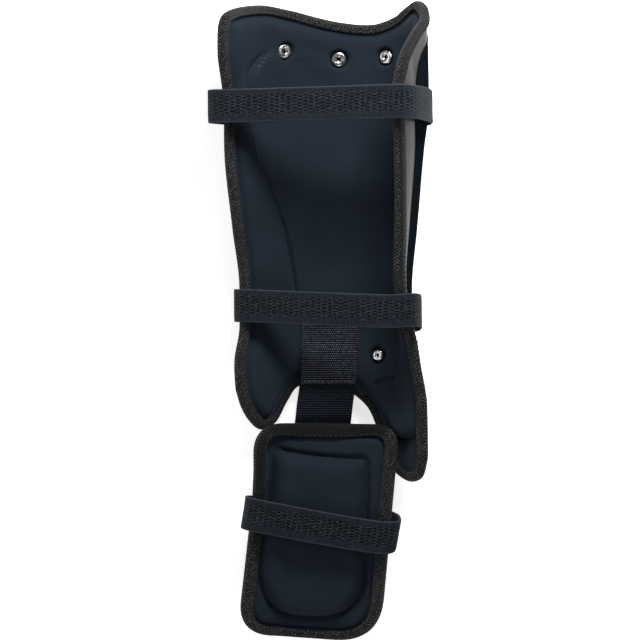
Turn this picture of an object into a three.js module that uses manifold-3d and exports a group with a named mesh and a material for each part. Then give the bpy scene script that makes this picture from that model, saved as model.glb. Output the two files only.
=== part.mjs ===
// A batter's leg guard lying on its shell, leg side up: a shin guard and a foot guard joined by webbing.
// Millimetres. +X points to the long right wing, +Y to the knee, +Z up, out of the hollow.
import * as THREE from "three";
import { mergeVertices } from "three/addons/utils/BufferGeometryUtils.js";
import Module from "manifold-3d";

const wasm = await Module();
wasm.setup();

// Clearance between touching pieces
const GAP = 0.3;

// Layers of the shin guard, measured from the face where liner and shell meet
const SHELL_WALL = 2.2;
const LINER_EDGE = 2;
const LINER_FULL = 8;
const SHELL_OUTSIDE = GAP / 2 + SHELL_WALL;

// The section across the shin guard: a flat front, rounded shoulders and straight wings
const FLAT_HALF = 12;
const LEFT_RADIUS = 58;
const SHOULDER_TURN = THREE.MathUtils.degToRad(35);
const RIGHT_CORNER = 30;

// One row for each section, from the tails to the knee. spine is the middle of the flat front, lift its height,
// reach the widest point in plan from the spine, turn how far the wing leans up from flat, in degrees.
const SECTIONS = [
  { y: -115, spine: 6, lift: 7, leftReach: 58, leftTurn: 48, rightReach: 66, rightTurn: 60, rightWall: 13 },
  { y: -60, spine: 6.5, lift: 4, leftReach: 61.5, leftTurn: 50, rightReach: 64.5, rightTurn: 72, rightWall: 15 },
  { y: -30, spine: 7, lift: 1.4, leftReach: 63.8, leftTurn: 53, rightReach: 59, rightTurn: 84, rightWall: 17 },
  { y: -5, spine: 7.5, lift: 0, leftReach: 60.8, leftTurn: 56, rightReach: 54.8, rightTurn: 95, rightWall: 20 },
  { y: 22, spine: 8, lift: 0, leftReach: 61.3, leftTurn: 57, rightReach: 53.5, rightTurn: 105, rightWall: 24 },
  { y: 66, spine: 9, lift: 0, leftReach: 67.2, leftTurn: 58, rightReach: 56.3, rightTurn: 109, rightWall: 30 },
  { y: 118, spine: 9.8, lift: 0, leftReach: 73, leftTurn: 58, rightReach: 60, rightTurn: 114, rightWall: 35 },
  { y: 147, spine: 10.3, lift: 0, leftReach: 73.8, leftTurn: 58, rightReach: 62.8, rightTurn: 117, rightWall: 41 },
  { y: 186, spine: 11, lift: 3, leftReach: 79, leftTurn: 57, rightReach: 61.5, rightTurn: 114.5, rightWall: 41 },
  { y: 225, spine: 11.5, lift: 9, leftReach: 82, leftTurn: 55, rightReach: 60.5, rightTurn: 112, rightWall: 40 },
];

// The outline. across runs from -1 at the left edge through 0 at the spine to 1 at the right edge.
const TOP_EDGE = [
  { across: -1, y: 180 },
  { across: -0.96, y: 201 },
  { across: -0.86, y: 210.5 },
  { across: -0.55, y: 217 },
  { across: -0.32, y: 215.2 },
  { across: -0.12, y: 210.4 },
  { across: 0.05, y: 206.7 },
  { across: 0.17, y: 205.4 },
  { across: 0.25, y: 206.8 },
  { across: 0.34, y: 211 },
  { across: 0.4, y: 216 },
  { across: 0.48, y: 219.6 },
  { across: 0.57, y: 215 },
  { across: 0.66, y: 206 },
  { across: 0.82, y: 192 },
  { across: 0.94, y: 177 },
  { across: 1, y: 158 },
];
const BOTTOM_EDGE = [
  { across: -1, y: -48 },
  { across: -0.95, y: -59 },
  { across: -0.86, y: -68 },
  { across: -0.73, y: -74.5 },
  { across: -0.58, y: -70 },
  { across: -0.45, y: -56 },
  { across: -0.32, y: -45 },
  { across: -0.08, y: -42 },
  { across: 0.1, y: -45 },
  { across: 0.22, y: -51 },
  { across: 0.34, y: -60 },
  { across: 0.42, y: -71.5 },
  { across: 0.52, y: -90 },
  { across: 0.62, y: -103.5 },
  { across: 0.72, y: -109 },
  { across: 0.82, y: -110.3 },
  { across: 0.93, y: -107 },
  { across: 1, y: -95 },
];
const COLUMNS = 24;
const ROWS = 17;

// The crease down the liner: x of the step at each height, and how far the hollow lies below the left wing
const CREASE = [
  { y: -10, x: -32 },
  { y: 22, x: -18.5 },
  { y: 64, x: -26.5 },
  { y: 102, x: -41 },
  { y: 136, x: -49 },
  { y: 167, x: -52 },
  { y: 185, x: -43.5 },
];
const CREASE_STEP = 2;
const CREASE_HALF = 4;

// Woven edge tape: how far it reaches over each face, past the edge, and its rounded fold
const TAPE_WALL = 1.2;
const TAPE_CLEAR = 0.45;
const TAPE_LIP = 5.5;
const TAPE_FOLD = 1.8;
const EDGE_STRIP = 6.5;

// Tubular rivets, where they pass through the shell, and the dimple that each presses into the liner
const RIVETS = [
  { name: "rivet_top_left", x: -27, y: 189 },
  { name: "rivet_top_middle", x: 13.4, y: 184 },
  { name: "rivet_top_right", x: 48, y: 185 },
  { name: "rivet_low_right", x: 42.7, y: -25 },
];
const RIVET_SIDES = 10;
const RIVET_HEAD = 5;
const RIVET_HEAD_RISE = 1.4;
const RIVET_SHANK = 2.1;
const RIVET_ROLL = 4.8;
const RIVET_ROLL_RISE = 1.5;
const RIVET_BORE = 1.1;
const RIVET_BORE_DEPTH = 4.5;
const DIMPLE_RADIUS = 6.4;
const DIMPLE_FLOOR = 4;

// Elastic straps. Each turn lists points round a wing's edge: out past the edge, and in towards the leg. Round the
// right wing a strap drifts from the height where it crosses the leg to the height where its tail is sewn.
const STRAP_WIDTH = 23;
const STRAP_WALL = 1.8;
const STRAP_STEPS = 36;
const STRAP_REST = SHELL_OUTSIDE + GAP + STRAP_WALL / 2 + 0.6;
const SHIN_STRAPS = [
  {
    name: "strap_upper",
    leftY: 146.5,
    rightY: 147,
    rightTailY: 147,
    leftTails: [46, 28],
    leftTurn: [
      { out: -12, in: -6 },
      { out: 2, in: -9 },
      { out: 9, in: -9.5 },
      { out: 12.4, in: -3 },
      { out: 9.8, in: 6 },
    ],
    rightTurn: [
      { out: 5, in: 3 },
      { out: 5.5, in: -4 },
      { out: 1, in: -8.6 },
      { out: -7, in: -10.8 },
      { out: -20, in: -10.4 },
      { out: -36, in: -8 },
    ],
    rightTails: [62, 80],
  },
  {
    name: "strap_lower",
    leftY: 10,
    rightY: 7,
    rightTailY: 2.5,
    leftTails: [36, 23],
    leftTurn: [
      { out: -11, in: -6 },
      { out: -3, in: -7 },
      { out: 2, in: -5.8 },
      { out: 4.2, in: 0 },
      { out: 2.9, in: 7.2 },
    ],
    rightTurn: [
      { out: 6.5, in: 4.5 },
      { out: 8, in: -3 },
      { out: 4, in: -8 },
      { out: -4, in: -10 },
      { out: -16, in: -9 },
      { out: -28, in: -6.5 },
    ],
    rightTails: [40, 50],
  },
];

// Webbing: a patch on the liner, and a link from under the patch to the back of the foot guard
const WEBBING_WIDTH = 39.5;
const PATCH_WIDTH = 42;
const WEBBING_WALL = 1.6;
const WEBBING_ACROSS = 6;
const PATCH_ROWS = [
  { y: 10, x: 7, clear: 0.3 },
  { y: -16, x: 6.6, clear: 0.3 },
  { y: -25, x: 6.3, clear: 2 },
  { y: -46, x: 5.6, clear: 3.2 },
];
const LINK_ROWS = [
  { y: -30, x: 6, z: 11 },
  { y: -44, x: 5.4, z: 11.5 },
  { y: -58, x: 3.6, z: 12.8 },
  { y: -73, x: 1.9, z: 14.6 },
  { y: -90, x: 0.6, z: 13.6 },
];

// The foot guard: its outline in plan, each corner with the length that its rounding takes from the sides
const FOOT_OUTLINE = [
  { x: -56.6, y: -218.6, round: 22 },
  { x: 40.8, y: -225.6, round: 31 },
  { x: 54, y: -75, round: 15 },
  { x: -45, y: -73.9, round: 19 },
  { x: -45, y: -118, round: 20 },
];
const FOOT_SIDES = 50;
const FOOT_TOE_Y = -222;
const FOOT_TOE_Z = 1.85;
const FOOT_TILT = 0.113;
const FOOT_AXIS_X = -6.5;
const FOOT_AXIS_LEAN = 0.077;
const FOOT_FLAT_HALF = 18;
const FOOT_HALF = 50;
const FOOT_FLANK_RISE = 14;
const FOOT_EDGE = 4.2;
const FOOT_FULL = 7;
const FOOT_RINGS = [0.86, 0.62, 0.32];

// The raised pad on the foot guard
const PAD_OUTLINE = [
  { x: -45.5, y: -206.5, round: 22 },
  { x: 34.3, y: -208.6, round: 27 },
  { x: 35, y: -95.9, round: 3 },
  { x: 1, y: -97, round: 30 },
  { x: -32.9, y: -89.6, round: 3 },
  { x: -33.3, y: -120.4, round: 18 },
  { x: -44.8, y: -159.6, round: 18 },
];
const PAD_SIDES = 40;
const PAD_HEIGHTS = [
  { scale: 1, n: 5.5 },
  { scale: 1, n: 9.5 },
  { scale: 0.93, n: 12.4 },
  { scale: 0.5, n: 13.4 },
];

// The foot strap crosses the foot guard at a slant, and its right tail is sewn a little higher up the back
const FOOT_STRAP = {
  rightTailShift: 6.5,
  left: { x: -49, y: -134.6 },
  right: { x: 48, y: -150 },
  leftTurn: [
    { out: -24, in: -2.6 },
    { out: -8, in: -4.2 },
    { out: 0.5, in: -4.6 },
    { out: 4.8, in: 1.5 },
    { out: 2.6, in: 9.4 },
  ],
  rightTurn: [
    { out: 4.5, in: 9.1 },
    { out: 9, in: 2.5 },
    { out: 3, in: -4.6 },
    { out: -8, in: -4.2 },
    { out: -24, in: -2.6 },
  ],
};

// Finishes
const FINISH = {
  shell: { color: 0x1c1c1e, roughness: 0.25, metalness: 0 },
  liner: { color: 0x1d242c, roughness: 0.9, metalness: 0 },
  tape: { color: 0x292826, roughness: 0.85, metalness: 0 },
  elastic: { color: 0x24262a, roughness: 0.85, metalness: 0 },
  webbing: { color: 0x161618, roughness: 0.8, metalness: 0 },
  nickel: { color: 0xd0d0d0, roughness: 0.25, metalness: 1 },
};

const guard = new THREE.Group();

function addMesh(name, geometry, finish) {
  const mesh = new THREE.Mesh(geometry, new THREE.MeshStandardMaterial(FINISH[finish]));
  mesh.name = name;
  guard.add(mesh);
  return mesh;
}

// Closed meshes

function signedVolume(points, triangles) {
  return triangles.reduce((sum, [a, b, c]) => {
    return sum + points[a].dot(new THREE.Vector3().crossVectors(points[b], points[c])) / 6;
  }, 0);
}

function closedGeometry(points, triangles) {
  const inward = signedVolume(points, triangles) < 0;
  const index = triangles.flatMap(([a, b, c]) => (inward ? [a, c, b] : [a, b, c]));
  const geometry = new THREE.BufferGeometry().setFromPoints(points);
  geometry.setIndex(index);
  return geometry;
}

// Joins closed loops of equal length into one skin. A ring's last loop meets its first; otherwise both ends close.
function loft(loops, ring) {
  const count = loops[0].length;
  const points = loops.flat();
  const triangles = [];
  const bands = ring ? loops.length : loops.length - 1;
  for (let band = 0; band < bands; band++) {
    const low = band * count;
    const high = ((band + 1) % loops.length) * count;
    for (let i = 0; i < count; i++) {
      const next = (i + 1) % count;
      triangles.push([low + i, low + next, high + next], [low + i, high + next, high + i]);
    }
  }
  if (!ring) {
    closeLoop(points, triangles, 0, count, true);
    closeLoop(points, triangles, (loops.length - 1) * count, count, false);
  }
  return closedGeometry(points, triangles);
}

function closeLoop(points, triangles, start, count, first) {
  const loop = points.slice(start, start + count);
  const middle = loop.reduce((sum, p) => sum.add(p), new THREE.Vector3()).divideScalar(count);
  const hub = points.push(middle) - 1;
  for (let i = 0; i < count; i++) {
    const here = start + i;
    const next = start + ((i + 1) % count);
    triangles.push(first ? [hub, next, here] : [hub, here, next]);
  }
}

function solidOf(geometry) {
  const bare = geometry.clone();
  bare.deleteAttribute("normal");
  bare.deleteAttribute("uv");
  const merged = mergeVertices(bare, 1e-4);
  const vertProperties = new Float32Array(merged.attributes.position.array);
  const triVerts = new Uint32Array(merged.index.array);
  return new wasm.Manifold(new wasm.Mesh({ numProp: 3, vertProperties, triVerts }));
}

function geometryOf(solid) {
  const { vertProperties, triVerts } = solid.getMesh();
  const geometry = new THREE.BufferGeometry();
  geometry.setAttribute("position", new THREE.BufferAttribute(new Float32Array(vertProperties), 3));
  geometry.setIndex(new THREE.BufferAttribute(new Uint32Array(triVerts), 1));
  return geometry;
}

// Smooth values from a short table

// The slope at a row: none at the ends and at turning points, so that the curve never overshoots its rows.
function slopeAt(rows, i, column) {
  if (i === 0 || i === rows.length - 1) return 0;
  const before = (rows[i][column] - rows[i - 1][column]) / (rows[i].y - rows[i - 1].y);
  const after = (rows[i + 1][column] - rows[i][column]) / (rows[i + 1].y - rows[i].y);
  return before * after <= 0 ? 0 : (2 * before * after) / (before + after);
}

function valueAt(rows, column, y) {
  const held = THREE.MathUtils.clamp(y, rows[0].y, rows.at(-1).y);
  const i = Math.min(rows.length - 2, rows.findLastIndex((row) => row.y <= held));
  const span = rows[i + 1].y - rows[i].y;
  const t = (held - rows[i].y) / span;
  const ends = t * t * (3 - 2 * t);
  const start = t * (1 - t) * (1 - t) * span * slopeAt(rows, i, column);
  const finish = t * t * (t - 1) * span * slopeAt(rows, i + 1, column);
  return THREE.MathUtils.lerp(rows[i][column], rows[i + 1][column], ends) + start + finish;
}

// The curved face where liner and shell meet

// The lengths and turns that lead from the spine to one edge of the section at y.
function sidePath(y, right) {
  const at = (column) => valueAt(SECTIONS, column, y);
  if (!right) {
    const turn = THREE.MathUtils.degToRad(at("leftTurn"));
    const wall = (at("leftReach") - FLAT_HALF - LEFT_RADIUS * Math.sin(turn)) / Math.cos(turn);
    return [
      { length: FLAT_HALF, turn: 0 },
      { length: LEFT_RADIUS * turn, turn },
      { length: wall, turn: 0 },
    ];
  }
  const turn = THREE.MathUtils.degToRad(at("rightTurn"));
  const wall = at("rightWall");
  const cornerReach = RIGHT_CORNER * (Math.sin(Math.min(turn, Math.PI / 2)) - Math.sin(SHOULDER_TURN));
  const wallReach = wall * Math.max(0, Math.cos(turn));
  const radius = (at("rightReach") - FLAT_HALF - cornerReach - wallReach) / Math.sin(SHOULDER_TURN);
  return [
    { length: FLAT_HALF, turn: 0 },
    { length: radius * SHOULDER_TURN, turn: SHOULDER_TURN },
    { length: RIGHT_CORNER * (turn - SHOULDER_TURN), turn: turn - SHOULDER_TURN },
    { length: wall, turn: 0 },
  ];
}

function pathLength(path) {
  return path.reduce((sum, { length }) => sum + length, 0);
}

// Walks along a side path: how far out and up it gets, and how steep it is there.
function walk(path, distance) {
  let reach = 0;
  let rise = 0;
  let angle = 0;
  let left = distance;
  path.forEach(({ length, turn }, i) => {
    const step = i === path.length - 1 ? left : Math.min(left, length);
    left -= step;
    if (turn === 0) {
      reach += step * Math.cos(angle);
      rise += step * Math.sin(angle);
      return;
    }
    const radius = length / turn;
    const end = angle + step / radius;
    reach += radius * (Math.sin(end) - Math.sin(angle));
    rise += radius * (Math.cos(angle) - Math.cos(end));
    angle = end;
  });
  return { reach, rise, angle };
}

function formPoint({ across, y }) {
  const path = sidePath(y, across > 0);
  const side = Math.sign(across) || 1;
  const { reach, rise } = walk(path, Math.abs(across) * pathLength(path));
  const spine = valueAt(SECTIONS, "spine", y);
  return new THREE.Vector3(spine + side * reach, y, SHELL_OUTSIDE + valueAt(SECTIONS, "lift", y) + rise);
}

// The point on the face with its two tangents, the normal towards the leg, and the way out to the nearer edge.
function formFrame(place) {
  const path = sidePath(place.y, place.across > 0);
  const side = Math.sign(place.across) || 1;
  const total = pathLength(path);
  const { angle } = walk(path, Math.abs(place.across) * total);
  const h = 0.5;
  const after = formPoint({ across: place.across, y: place.y + h });
  const before = formPoint({ across: place.across, y: place.y - h });
  const alongY = after.sub(before).divideScalar(2 * h);
  const out = new THREE.Vector3(side * Math.cos(angle), 0, Math.sin(angle));
  const alongAcross = out.clone().multiplyScalar(side * total);
  const normal = new THREE.Vector3().crossVectors(alongAcross, alongY).normalize();
  return { point: formPoint(place), alongAcross, alongY, normal, out };
}

function offForm(place, n) {
  const { point, normal } = formFrame(place);
  return point.addScaledVector(normal, n);
}

// The place on the face under a point seen from above, between the left edge and the right shoulder.
function placeUnder(x, y) {
  let low = -1;
  let high = 0.6;
  for (let i = 0; i < 40; i++) {
    const across = (low + high) / 2;
    if (formPoint({ across, y }).x < x) low = across;
    else high = across;
  }
  return { across: low, y };
}

// The outline of the shin guard and the grid inside it

const LOOP = 2 * (COLUMNS + ROWS);
const ACROSS_SCALE = 100;

function edgeCurve(rows) {
  const curve = new THREE.SplineCurve(rows.map(({ across, y }) => new THREE.Vector2(across * ACROSS_SCALE, y)));
  return curve.getPoints(COLUMNS).map((p) => ({ across: p.x / ACROSS_SCALE, y: p.y }));
}

function sideEdge(from, to) {
  return Array.from({ length: ROWS - 1 }, (_, j) => {
    return { across: from.across, y: THREE.MathUtils.lerp(from.y, to.y, (j + 1) / ROWS) };
  });
}

// Anticlockwise from the lower left corner, seen from the leg side.
function edgeLoop() {
  const bottom = edgeCurve(BOTTOM_EDGE);
  const top = edgeCurve(TOP_EDGE).reverse();
  const right = sideEdge(bottom.at(-1), top[0]);
  const left = sideEdge(top.at(-1), bottom[0]);
  return [...bottom, ...right, ...top, ...left];
}

// The tape's frames along a closed loop of points with normals: out points away from the panel.
function tapeFrames(points, normals, insidePoints) {
  return points.map((point, k) => {
    const out = point.clone().sub(insidePoints[k]).normalize();
    const normal = normals[k].clone().addScaledVector(out, -normals[k].dot(out)).normalize();
    return { point, out, normal };
  });
}

// Moves an edge place into the panel, square to the edge, by a distance.
function insetPlace(loop, k, distance) {
  const frame = formFrame(loop[k]);
  const next = formPoint(loop[(k + 1) % LOOP]);
  const before = formPoint(loop[(k + LOOP - 1) % LOOP]);
  const out = new THREE.Vector3().crossVectors(next.sub(before), frame.normal).normalize();
  const { alongAcross: a, alongY: b } = frame;
  const det = a.dot(a) * b.dot(b) - a.dot(b) ** 2;
  const outA = out.dot(a);
  const outB = out.dot(b);
  return {
    across: loop[k].across - (distance * (outA * b.dot(b) - outB * a.dot(b))) / det,
    y: loop[k].y - (distance * (outB * a.dot(a) - outA * a.dot(b))) / det,
  };
}

// Which grid corner the k-th place of a loop is.
function gridCorner(k) {
  if (k <= COLUMNS) return { i: k, j: 0 };
  if (k <= COLUMNS + ROWS) return { i: COLUMNS, j: k - COLUMNS };
  if (k <= 2 * COLUMNS + ROWS) return { i: 2 * COLUMNS + ROWS - k, j: ROWS };
  return { i: 0, j: LOOP - k };
}

// Fills a loop with rows and columns of places that follow its four sides.
function fillLoop(loop) {
  const blend = (i, j, key) => {
    const s = i / COLUMNS;
    const t = j / ROWS;
    const bottom = loop[i][key];
    const top = loop[2 * COLUMNS + ROWS - i][key];
    const right = loop[COLUMNS + j][key];
    const left = loop[(LOOP - j) % LOOP][key];
    const low = (1 - s) * loop[0][key] + s * loop[COLUMNS][key];
    const high = (1 - s) * loop[2 * COLUMNS + ROWS][key] + s * loop[COLUMNS + ROWS][key];
    return (1 - t) * (bottom - low) + t * (top - high) + (1 - s) * left + s * right;
  };
  const places = [];
  for (let j = 0; j <= ROWS; j++) {
    for (let i = 0; i <= COLUMNS; i++) places.push({ across: blend(i, j, "across"), y: blend(i, j, "y") });
  }
  return places;
}

const OUTLINE = edgeLoop();
const INSET = OUTLINE.map((_, k) => insetPlace(OUTLINE, k, EDGE_STRIP));
const INSIDE = fillLoop(INSET);

// A padded or hard layer over the whole outline, between a lower and an upper height at each place.
function layer(lower, upper) {
  const inner = (height) => INSIDE.map((place, g) => offForm(place, height(place, onGridEdge(g))));
  const rim = (height) => OUTLINE.map((place) => offForm(place, height(place, true)));
  const points = [...inner(lower), ...inner(upper), ...rim(lower), ...rim(upper)];
  const upperStart = INSIDE.length;
  const lowRim = 2 * INSIDE.length;
  const highRim = lowRim + LOOP;
  const triangles = [];
  const quad = (a, b, c, d) => triangles.push([a, b, c], [a, c, d]);
  for (let j = 0; j < ROWS; j++) {
    for (let i = 0; i < COLUMNS; i++) {
      const a = gridIndex({ i, j });
      const b = gridIndex({ i: i + 1, j });
      const c = gridIndex({ i: i + 1, j: j + 1 });
      const d = gridIndex({ i, j: j + 1 });
      quad(upperStart + a, upperStart + b, upperStart + c, upperStart + d);
      quad(a, d, c, b);
    }
  }
  for (let k = 0; k < LOOP; k++) {
    const next = (k + 1) % LOOP;
    const a = gridIndex(gridCorner(k));
    const b = gridIndex(gridCorner(next));
    quad(highRim + k, highRim + next, upperStart + b, upperStart + a);
    quad(lowRim + k, a, b, lowRim + next);
    quad(lowRim + k, lowRim + next, highRim + next, highRim + k);
  }
  return closedGeometry(points, triangles);
}

function gridIndex({ i, j }) {
  return j * (COLUMNS + 1) + i;
}

function onGridEdge(g) {
  const i = g % (COLUMNS + 1);
  const j = Math.floor(g / (COLUMNS + 1));
  return i === 0 || j === 0 || i === COLUMNS || j === ROWS;
}

// The liner is pressed thin under the tape, full on the left wing, and steps down right of the crease.
function linerHeight(place, edge) {
  if (edge) return LINER_EDGE;
  const past = formPoint(place).x - valueAt(CREASE, "x", place.y);
  return LINER_FULL - CREASE_STEP * THREE.MathUtils.smoothstep(past, -CREASE_HALF, CREASE_HALF);
}

// A turned piece on the axis of a rivet, from rows of radius and height.
function turned(rows) {
  const profile = rows.map(([radius, n]) => new THREE.Vector2(radius, n));
  const lathe = new THREE.LatheGeometry(profile, RIVET_SIDES).rotateX(Math.PI / 2);
  lathe.deleteAttribute("normal");
  lathe.deleteAttribute("uv");
  const { attributes, index } = mergeVertices(lathe, 1e-4);
  const points = Array.from({ length: attributes.position.count }, (_, i) => {
    return new THREE.Vector3().fromBufferAttribute(attributes.position, i);
  });
  const triangles = Array.from({ length: index.count / 3 }, (_, t) => {
    return [0, 1, 2].map((corner) => index.getX(3 * t + corner));
  }).filter(([a, b, c]) => a !== b && b !== c && c !== a);
  return closedGeometry(points, triangles);
}

function cylinder(radius, from, to) {
  return turned([[0, from], [radius, from], [radius, to], [0, to]]);
}

function rivetGeometry() {
  const headTop = -SHELL_OUTSIDE - GAP;
  const headBottom = headTop - RIVET_HEAD_RISE;
  const rollBottom = DIMPLE_FLOOR + GAP;
  const rollTop = rollBottom + RIVET_ROLL_RISE;
  return turned([
    [0, headBottom],
    [0.8 * RIVET_HEAD, headBottom],
    [RIVET_HEAD, headTop - 0.5],
    [RIVET_HEAD, headTop],
    [RIVET_SHANK, headTop],
    [RIVET_SHANK, rollBottom],
    [RIVET_ROLL, rollBottom],
    [RIVET_ROLL, rollTop - 0.9],
    [0.72 * RIVET_ROLL, rollTop],
    [0.45 * RIVET_ROLL, rollTop],
    [RIVET_BORE, rollTop - 0.6],
    [RIVET_BORE, rollTop - RIVET_BORE_DEPTH],
    [0, rollTop - RIVET_BORE_DEPTH],
  ]);
}

function rivetFrame({ x, y }) {
  const { point, normal } = formFrame(placeUnder(x, y));
  const turn = new THREE.Quaternion().setFromUnitVectors(new THREE.Vector3(0, 0, 1), normal);
  return { point, turn };
}

// Cuts every rivet's clearance hole, and its dimple where the piece is soft.
function pierce(geometry, dimpled) {
  const depth = 30;
  let solid = solidOf(geometry);
  for (const rivet of RIVETS) {
    const { point, turn } = rivetFrame(rivet);
    const cutters = [cylinder(RIVET_SHANK + GAP, -depth, depth)];
    if (dimpled) cutters.push(cylinder(DIMPLE_RADIUS, DIMPLE_FLOOR, depth));
    for (const cutter of cutters) {
      cutter.applyQuaternion(turn).translate(point.x, point.y, point.z);
      solid = solid.subtract(solidOf(cutter));
    }
  }
  return geometryOf(solid);
}

// The section of a tape folded over layers that lie between two heights, as points past the edge and above it.
function tapeSection(low, high) {
  const top = high + TAPE_CLEAR + TAPE_WALL;
  const bottom = low - TAPE_CLEAR - TAPE_WALL;
  return [
    [-TAPE_LIP, top],
    [0, top],
    [TAPE_FOLD, top - TAPE_FOLD],
    [TAPE_FOLD, bottom + TAPE_FOLD],
    [0, bottom],
    [-TAPE_LIP, bottom],
    [-TAPE_LIP, low - TAPE_CLEAR],
    [TAPE_CLEAR, low - TAPE_CLEAR],
    [TAPE_CLEAR, high + TAPE_CLEAR],
    [-TAPE_LIP, high + TAPE_CLEAR],
  ];
}

function tape(frames, low, high) {
  const loops = tapeSection(low, high).map(([past, above]) => {
    return frames.map(({ point, out, normal }) => {
      return point.clone().addScaledVector(out, past).addScaledVector(normal, above);
    });
  });
  return loft(loops, true);
}

function shinBinding() {
  const points = OUTLINE.map(formPoint);
  const normals = OUTLINE.map((place) => formFrame(place).normal);
  const frames = tapeFrames(points, normals, INSET.map(formPoint));
  return tape(frames, -SHELL_OUTSIDE, LINER_EDGE);
}

// A flat strip along a path: its section stays square to the path, with its width along one fixed direction.
function strip(path, sideways, width, wall) {
  const loops = path.map((point, i) => {
    const ahead = path[Math.min(i + 1, path.length - 1)];
    const behind = path[Math.max(i - 1, 0)];
    const along = ahead.clone().sub(behind).normalize();
    const normal = new THREE.Vector3().crossVectors(along, sideways).normalize();
    const corner = (w, t) => {
      return point.clone().addScaledVector(sideways, (w * width) / 2).addScaledVector(normal, (t * wall) / 2);
    };
    return [corner(-1, -1), corner(1, -1), corner(1, 1), corner(-1, 1)];
  });
  return loft(loops, false);
}

// Shin straps

function besideEdge(side, y, { out: past, in: towards }) {
  const { point, normal, out } = formFrame({ across: side, y });
  return point.addScaledVector(out, past).addScaledVector(normal, towards);
}

function onShell(side, y, distance) {
  const total = pathLength(sidePath(y, side > 0));
  return offForm({ across: side * (1 - distance / total), y }, -STRAP_REST);
}

function shinStrap({ leftY, rightY, rightTailY, leftTails, leftTurn, rightTurn, rightTails }) {
  const driftTo = (i) => THREE.MathUtils.lerp(rightY, rightTailY, i / (rightTurn.length - 1));
  const stops = [
    ...leftTails.map((distance) => onShell(-1, leftY, distance)),
    ...leftTurn.map((stop) => besideEdge(-1, leftY, stop)),
    ...rightTurn.map((stop, i) => besideEdge(1, driftTo(i), stop)),
    ...rightTails.map((distance) => onShell(1, rightTailY, distance)),
  ];
  const path = new THREE.CatmullRomCurve3(stops, false, "centripetal").getPoints(STRAP_STEPS);
  return strip(path, new THREE.Vector3(0, 1, 0), STRAP_WIDTH, STRAP_WALL);
}

// Webbing

// The patch follows the liner's hollow across its width, lifted where the link lies under it.
function webbingPatch() {
  const loops = PATCH_ROWS.map(({ y, x, clear }) => {
    const low = LINER_FULL - CREASE_STEP + GAP + clear;
    const edgeAt = (i, n) => offForm(placeUnder(x + PATCH_WIDTH * (i / WEBBING_ACROSS - 0.5), y), n);
    const under = Array.from({ length: WEBBING_ACROSS + 1 }, (_, i) => edgeAt(i, low));
    const over = Array.from({ length: WEBBING_ACROSS + 1 }, (_, i) => edgeAt(WEBBING_ACROSS - i, low + WEBBING_WALL));
    return [...under, ...over];
  });
  return loft(loops, false);
}

function webbingLink() {
  const path = LINK_ROWS.map(({ x, y, z }) => new THREE.Vector3(x, y, z));
  return strip(path, new THREE.Vector3(1, 0, 0), WEBBING_WIDTH, WEBBING_WALL);
}

// Foot guard

// The underside: tilted up towards the ankle, flat in the middle, with flanks that curve up.
function footUnder(x, y) {
  const axis = FOOT_AXIS_X + FOOT_AXIS_LEAN * (y - FOOT_TOE_Y);
  const flank = Math.max(0, Math.abs(x - axis) - FOOT_FLAT_HALF) / (FOOT_HALF - FOOT_FLAT_HALF);
  return FOOT_TOE_Z + FOOT_TILT * (y - FOOT_TOE_Y) + FOOT_FLANK_RISE * flank * flank;
}

function footNormal(x, y) {
  const h = 0.5;
  const slopeX = (footUnder(x + h, y) - footUnder(x - h, y)) / (2 * h);
  const slopeY = (footUnder(x, y + h) - footUnder(x, y - h)) / (2 * h);
  return new THREE.Vector3(-slopeX, -slopeY, 1).normalize();
}

function offFoot({ x, y }, n) {
  return new THREE.Vector3(x, y, footUnder(x, y)).addScaledVector(footNormal(x, y), n);
}

function roundedLoop(corners, count) {
  const path = new THREE.Path();
  corners.forEach((corner, i) => {
    const here = new THREE.Vector2(corner.x, corner.y);
    const towards = (other) => new THREE.Vector2(other.x, other.y).sub(here).setLength(corner.round).add(here);
    const start = towards(corners[(i + corners.length - 1) % corners.length]);
    const end = towards(corners[(i + 1) % corners.length]);
    if (i === 0) path.moveTo(start.x, start.y);
    else path.lineTo(start.x, start.y);
    path.quadraticCurveTo(here.x, here.y, end.x, end.y);
  });
  path.closePath();
  return path.getSpacedPoints(count).slice(0, count);
}

function insetLoop(loop, distance) {
  return loop.map((point, k) => {
    const next = loop[(k + 1) % loop.length];
    const before = loop[(k + loop.length - 1) % loop.length];
    const along = next.clone().sub(before).normalize();
    return new THREE.Vector2(point.x - along.y * distance, point.y + along.x * distance);
  });
}

function scaleLoop(loop, scale) {
  const middle = loop.reduce((sum, p) => sum.add(p), new THREE.Vector2()).divideScalar(loop.length);
  return loop.map((p) => middle.clone().lerp(p, scale));
}

const FOOT_LOOP = roundedLoop(FOOT_OUTLINE, FOOT_SIDES);
const FOOT_INSET = insetLoop(FOOT_LOOP, EDGE_STRIP);

function footBase(extra) {
  const rings = FOOT_RINGS.map((scale) => scaleLoop(FOOT_INSET, scale));
  const raise = (loop, n) => loop.map((p) => offFoot(p, n));
  return loft(
    [
      ...rings.toReversed().map((loop) => raise(loop, 0)),
      raise(FOOT_INSET, 0),
      raise(FOOT_LOOP, 0),
      raise(FOOT_LOOP, FOOT_EDGE + extra),
      raise(FOOT_INSET, FOOT_EDGE + extra),
      ...rings.map((loop) => raise(loop, FOOT_FULL + extra)),
    ],
    false,
  );
}

// The pad sits on the base, so its underside is cut to the base's upper face with a small gap.
function footPad() {
  const outline = roundedLoop(PAD_OUTLINE, PAD_SIDES);
  const loops = PAD_HEIGHTS.map(({ scale, n }) => scaleLoop(outline, scale).map((p) => offFoot(p, n)));
  return geometryOf(solidOf(loft(loops, false)).subtract(solidOf(footBase(GAP))));
}

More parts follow.
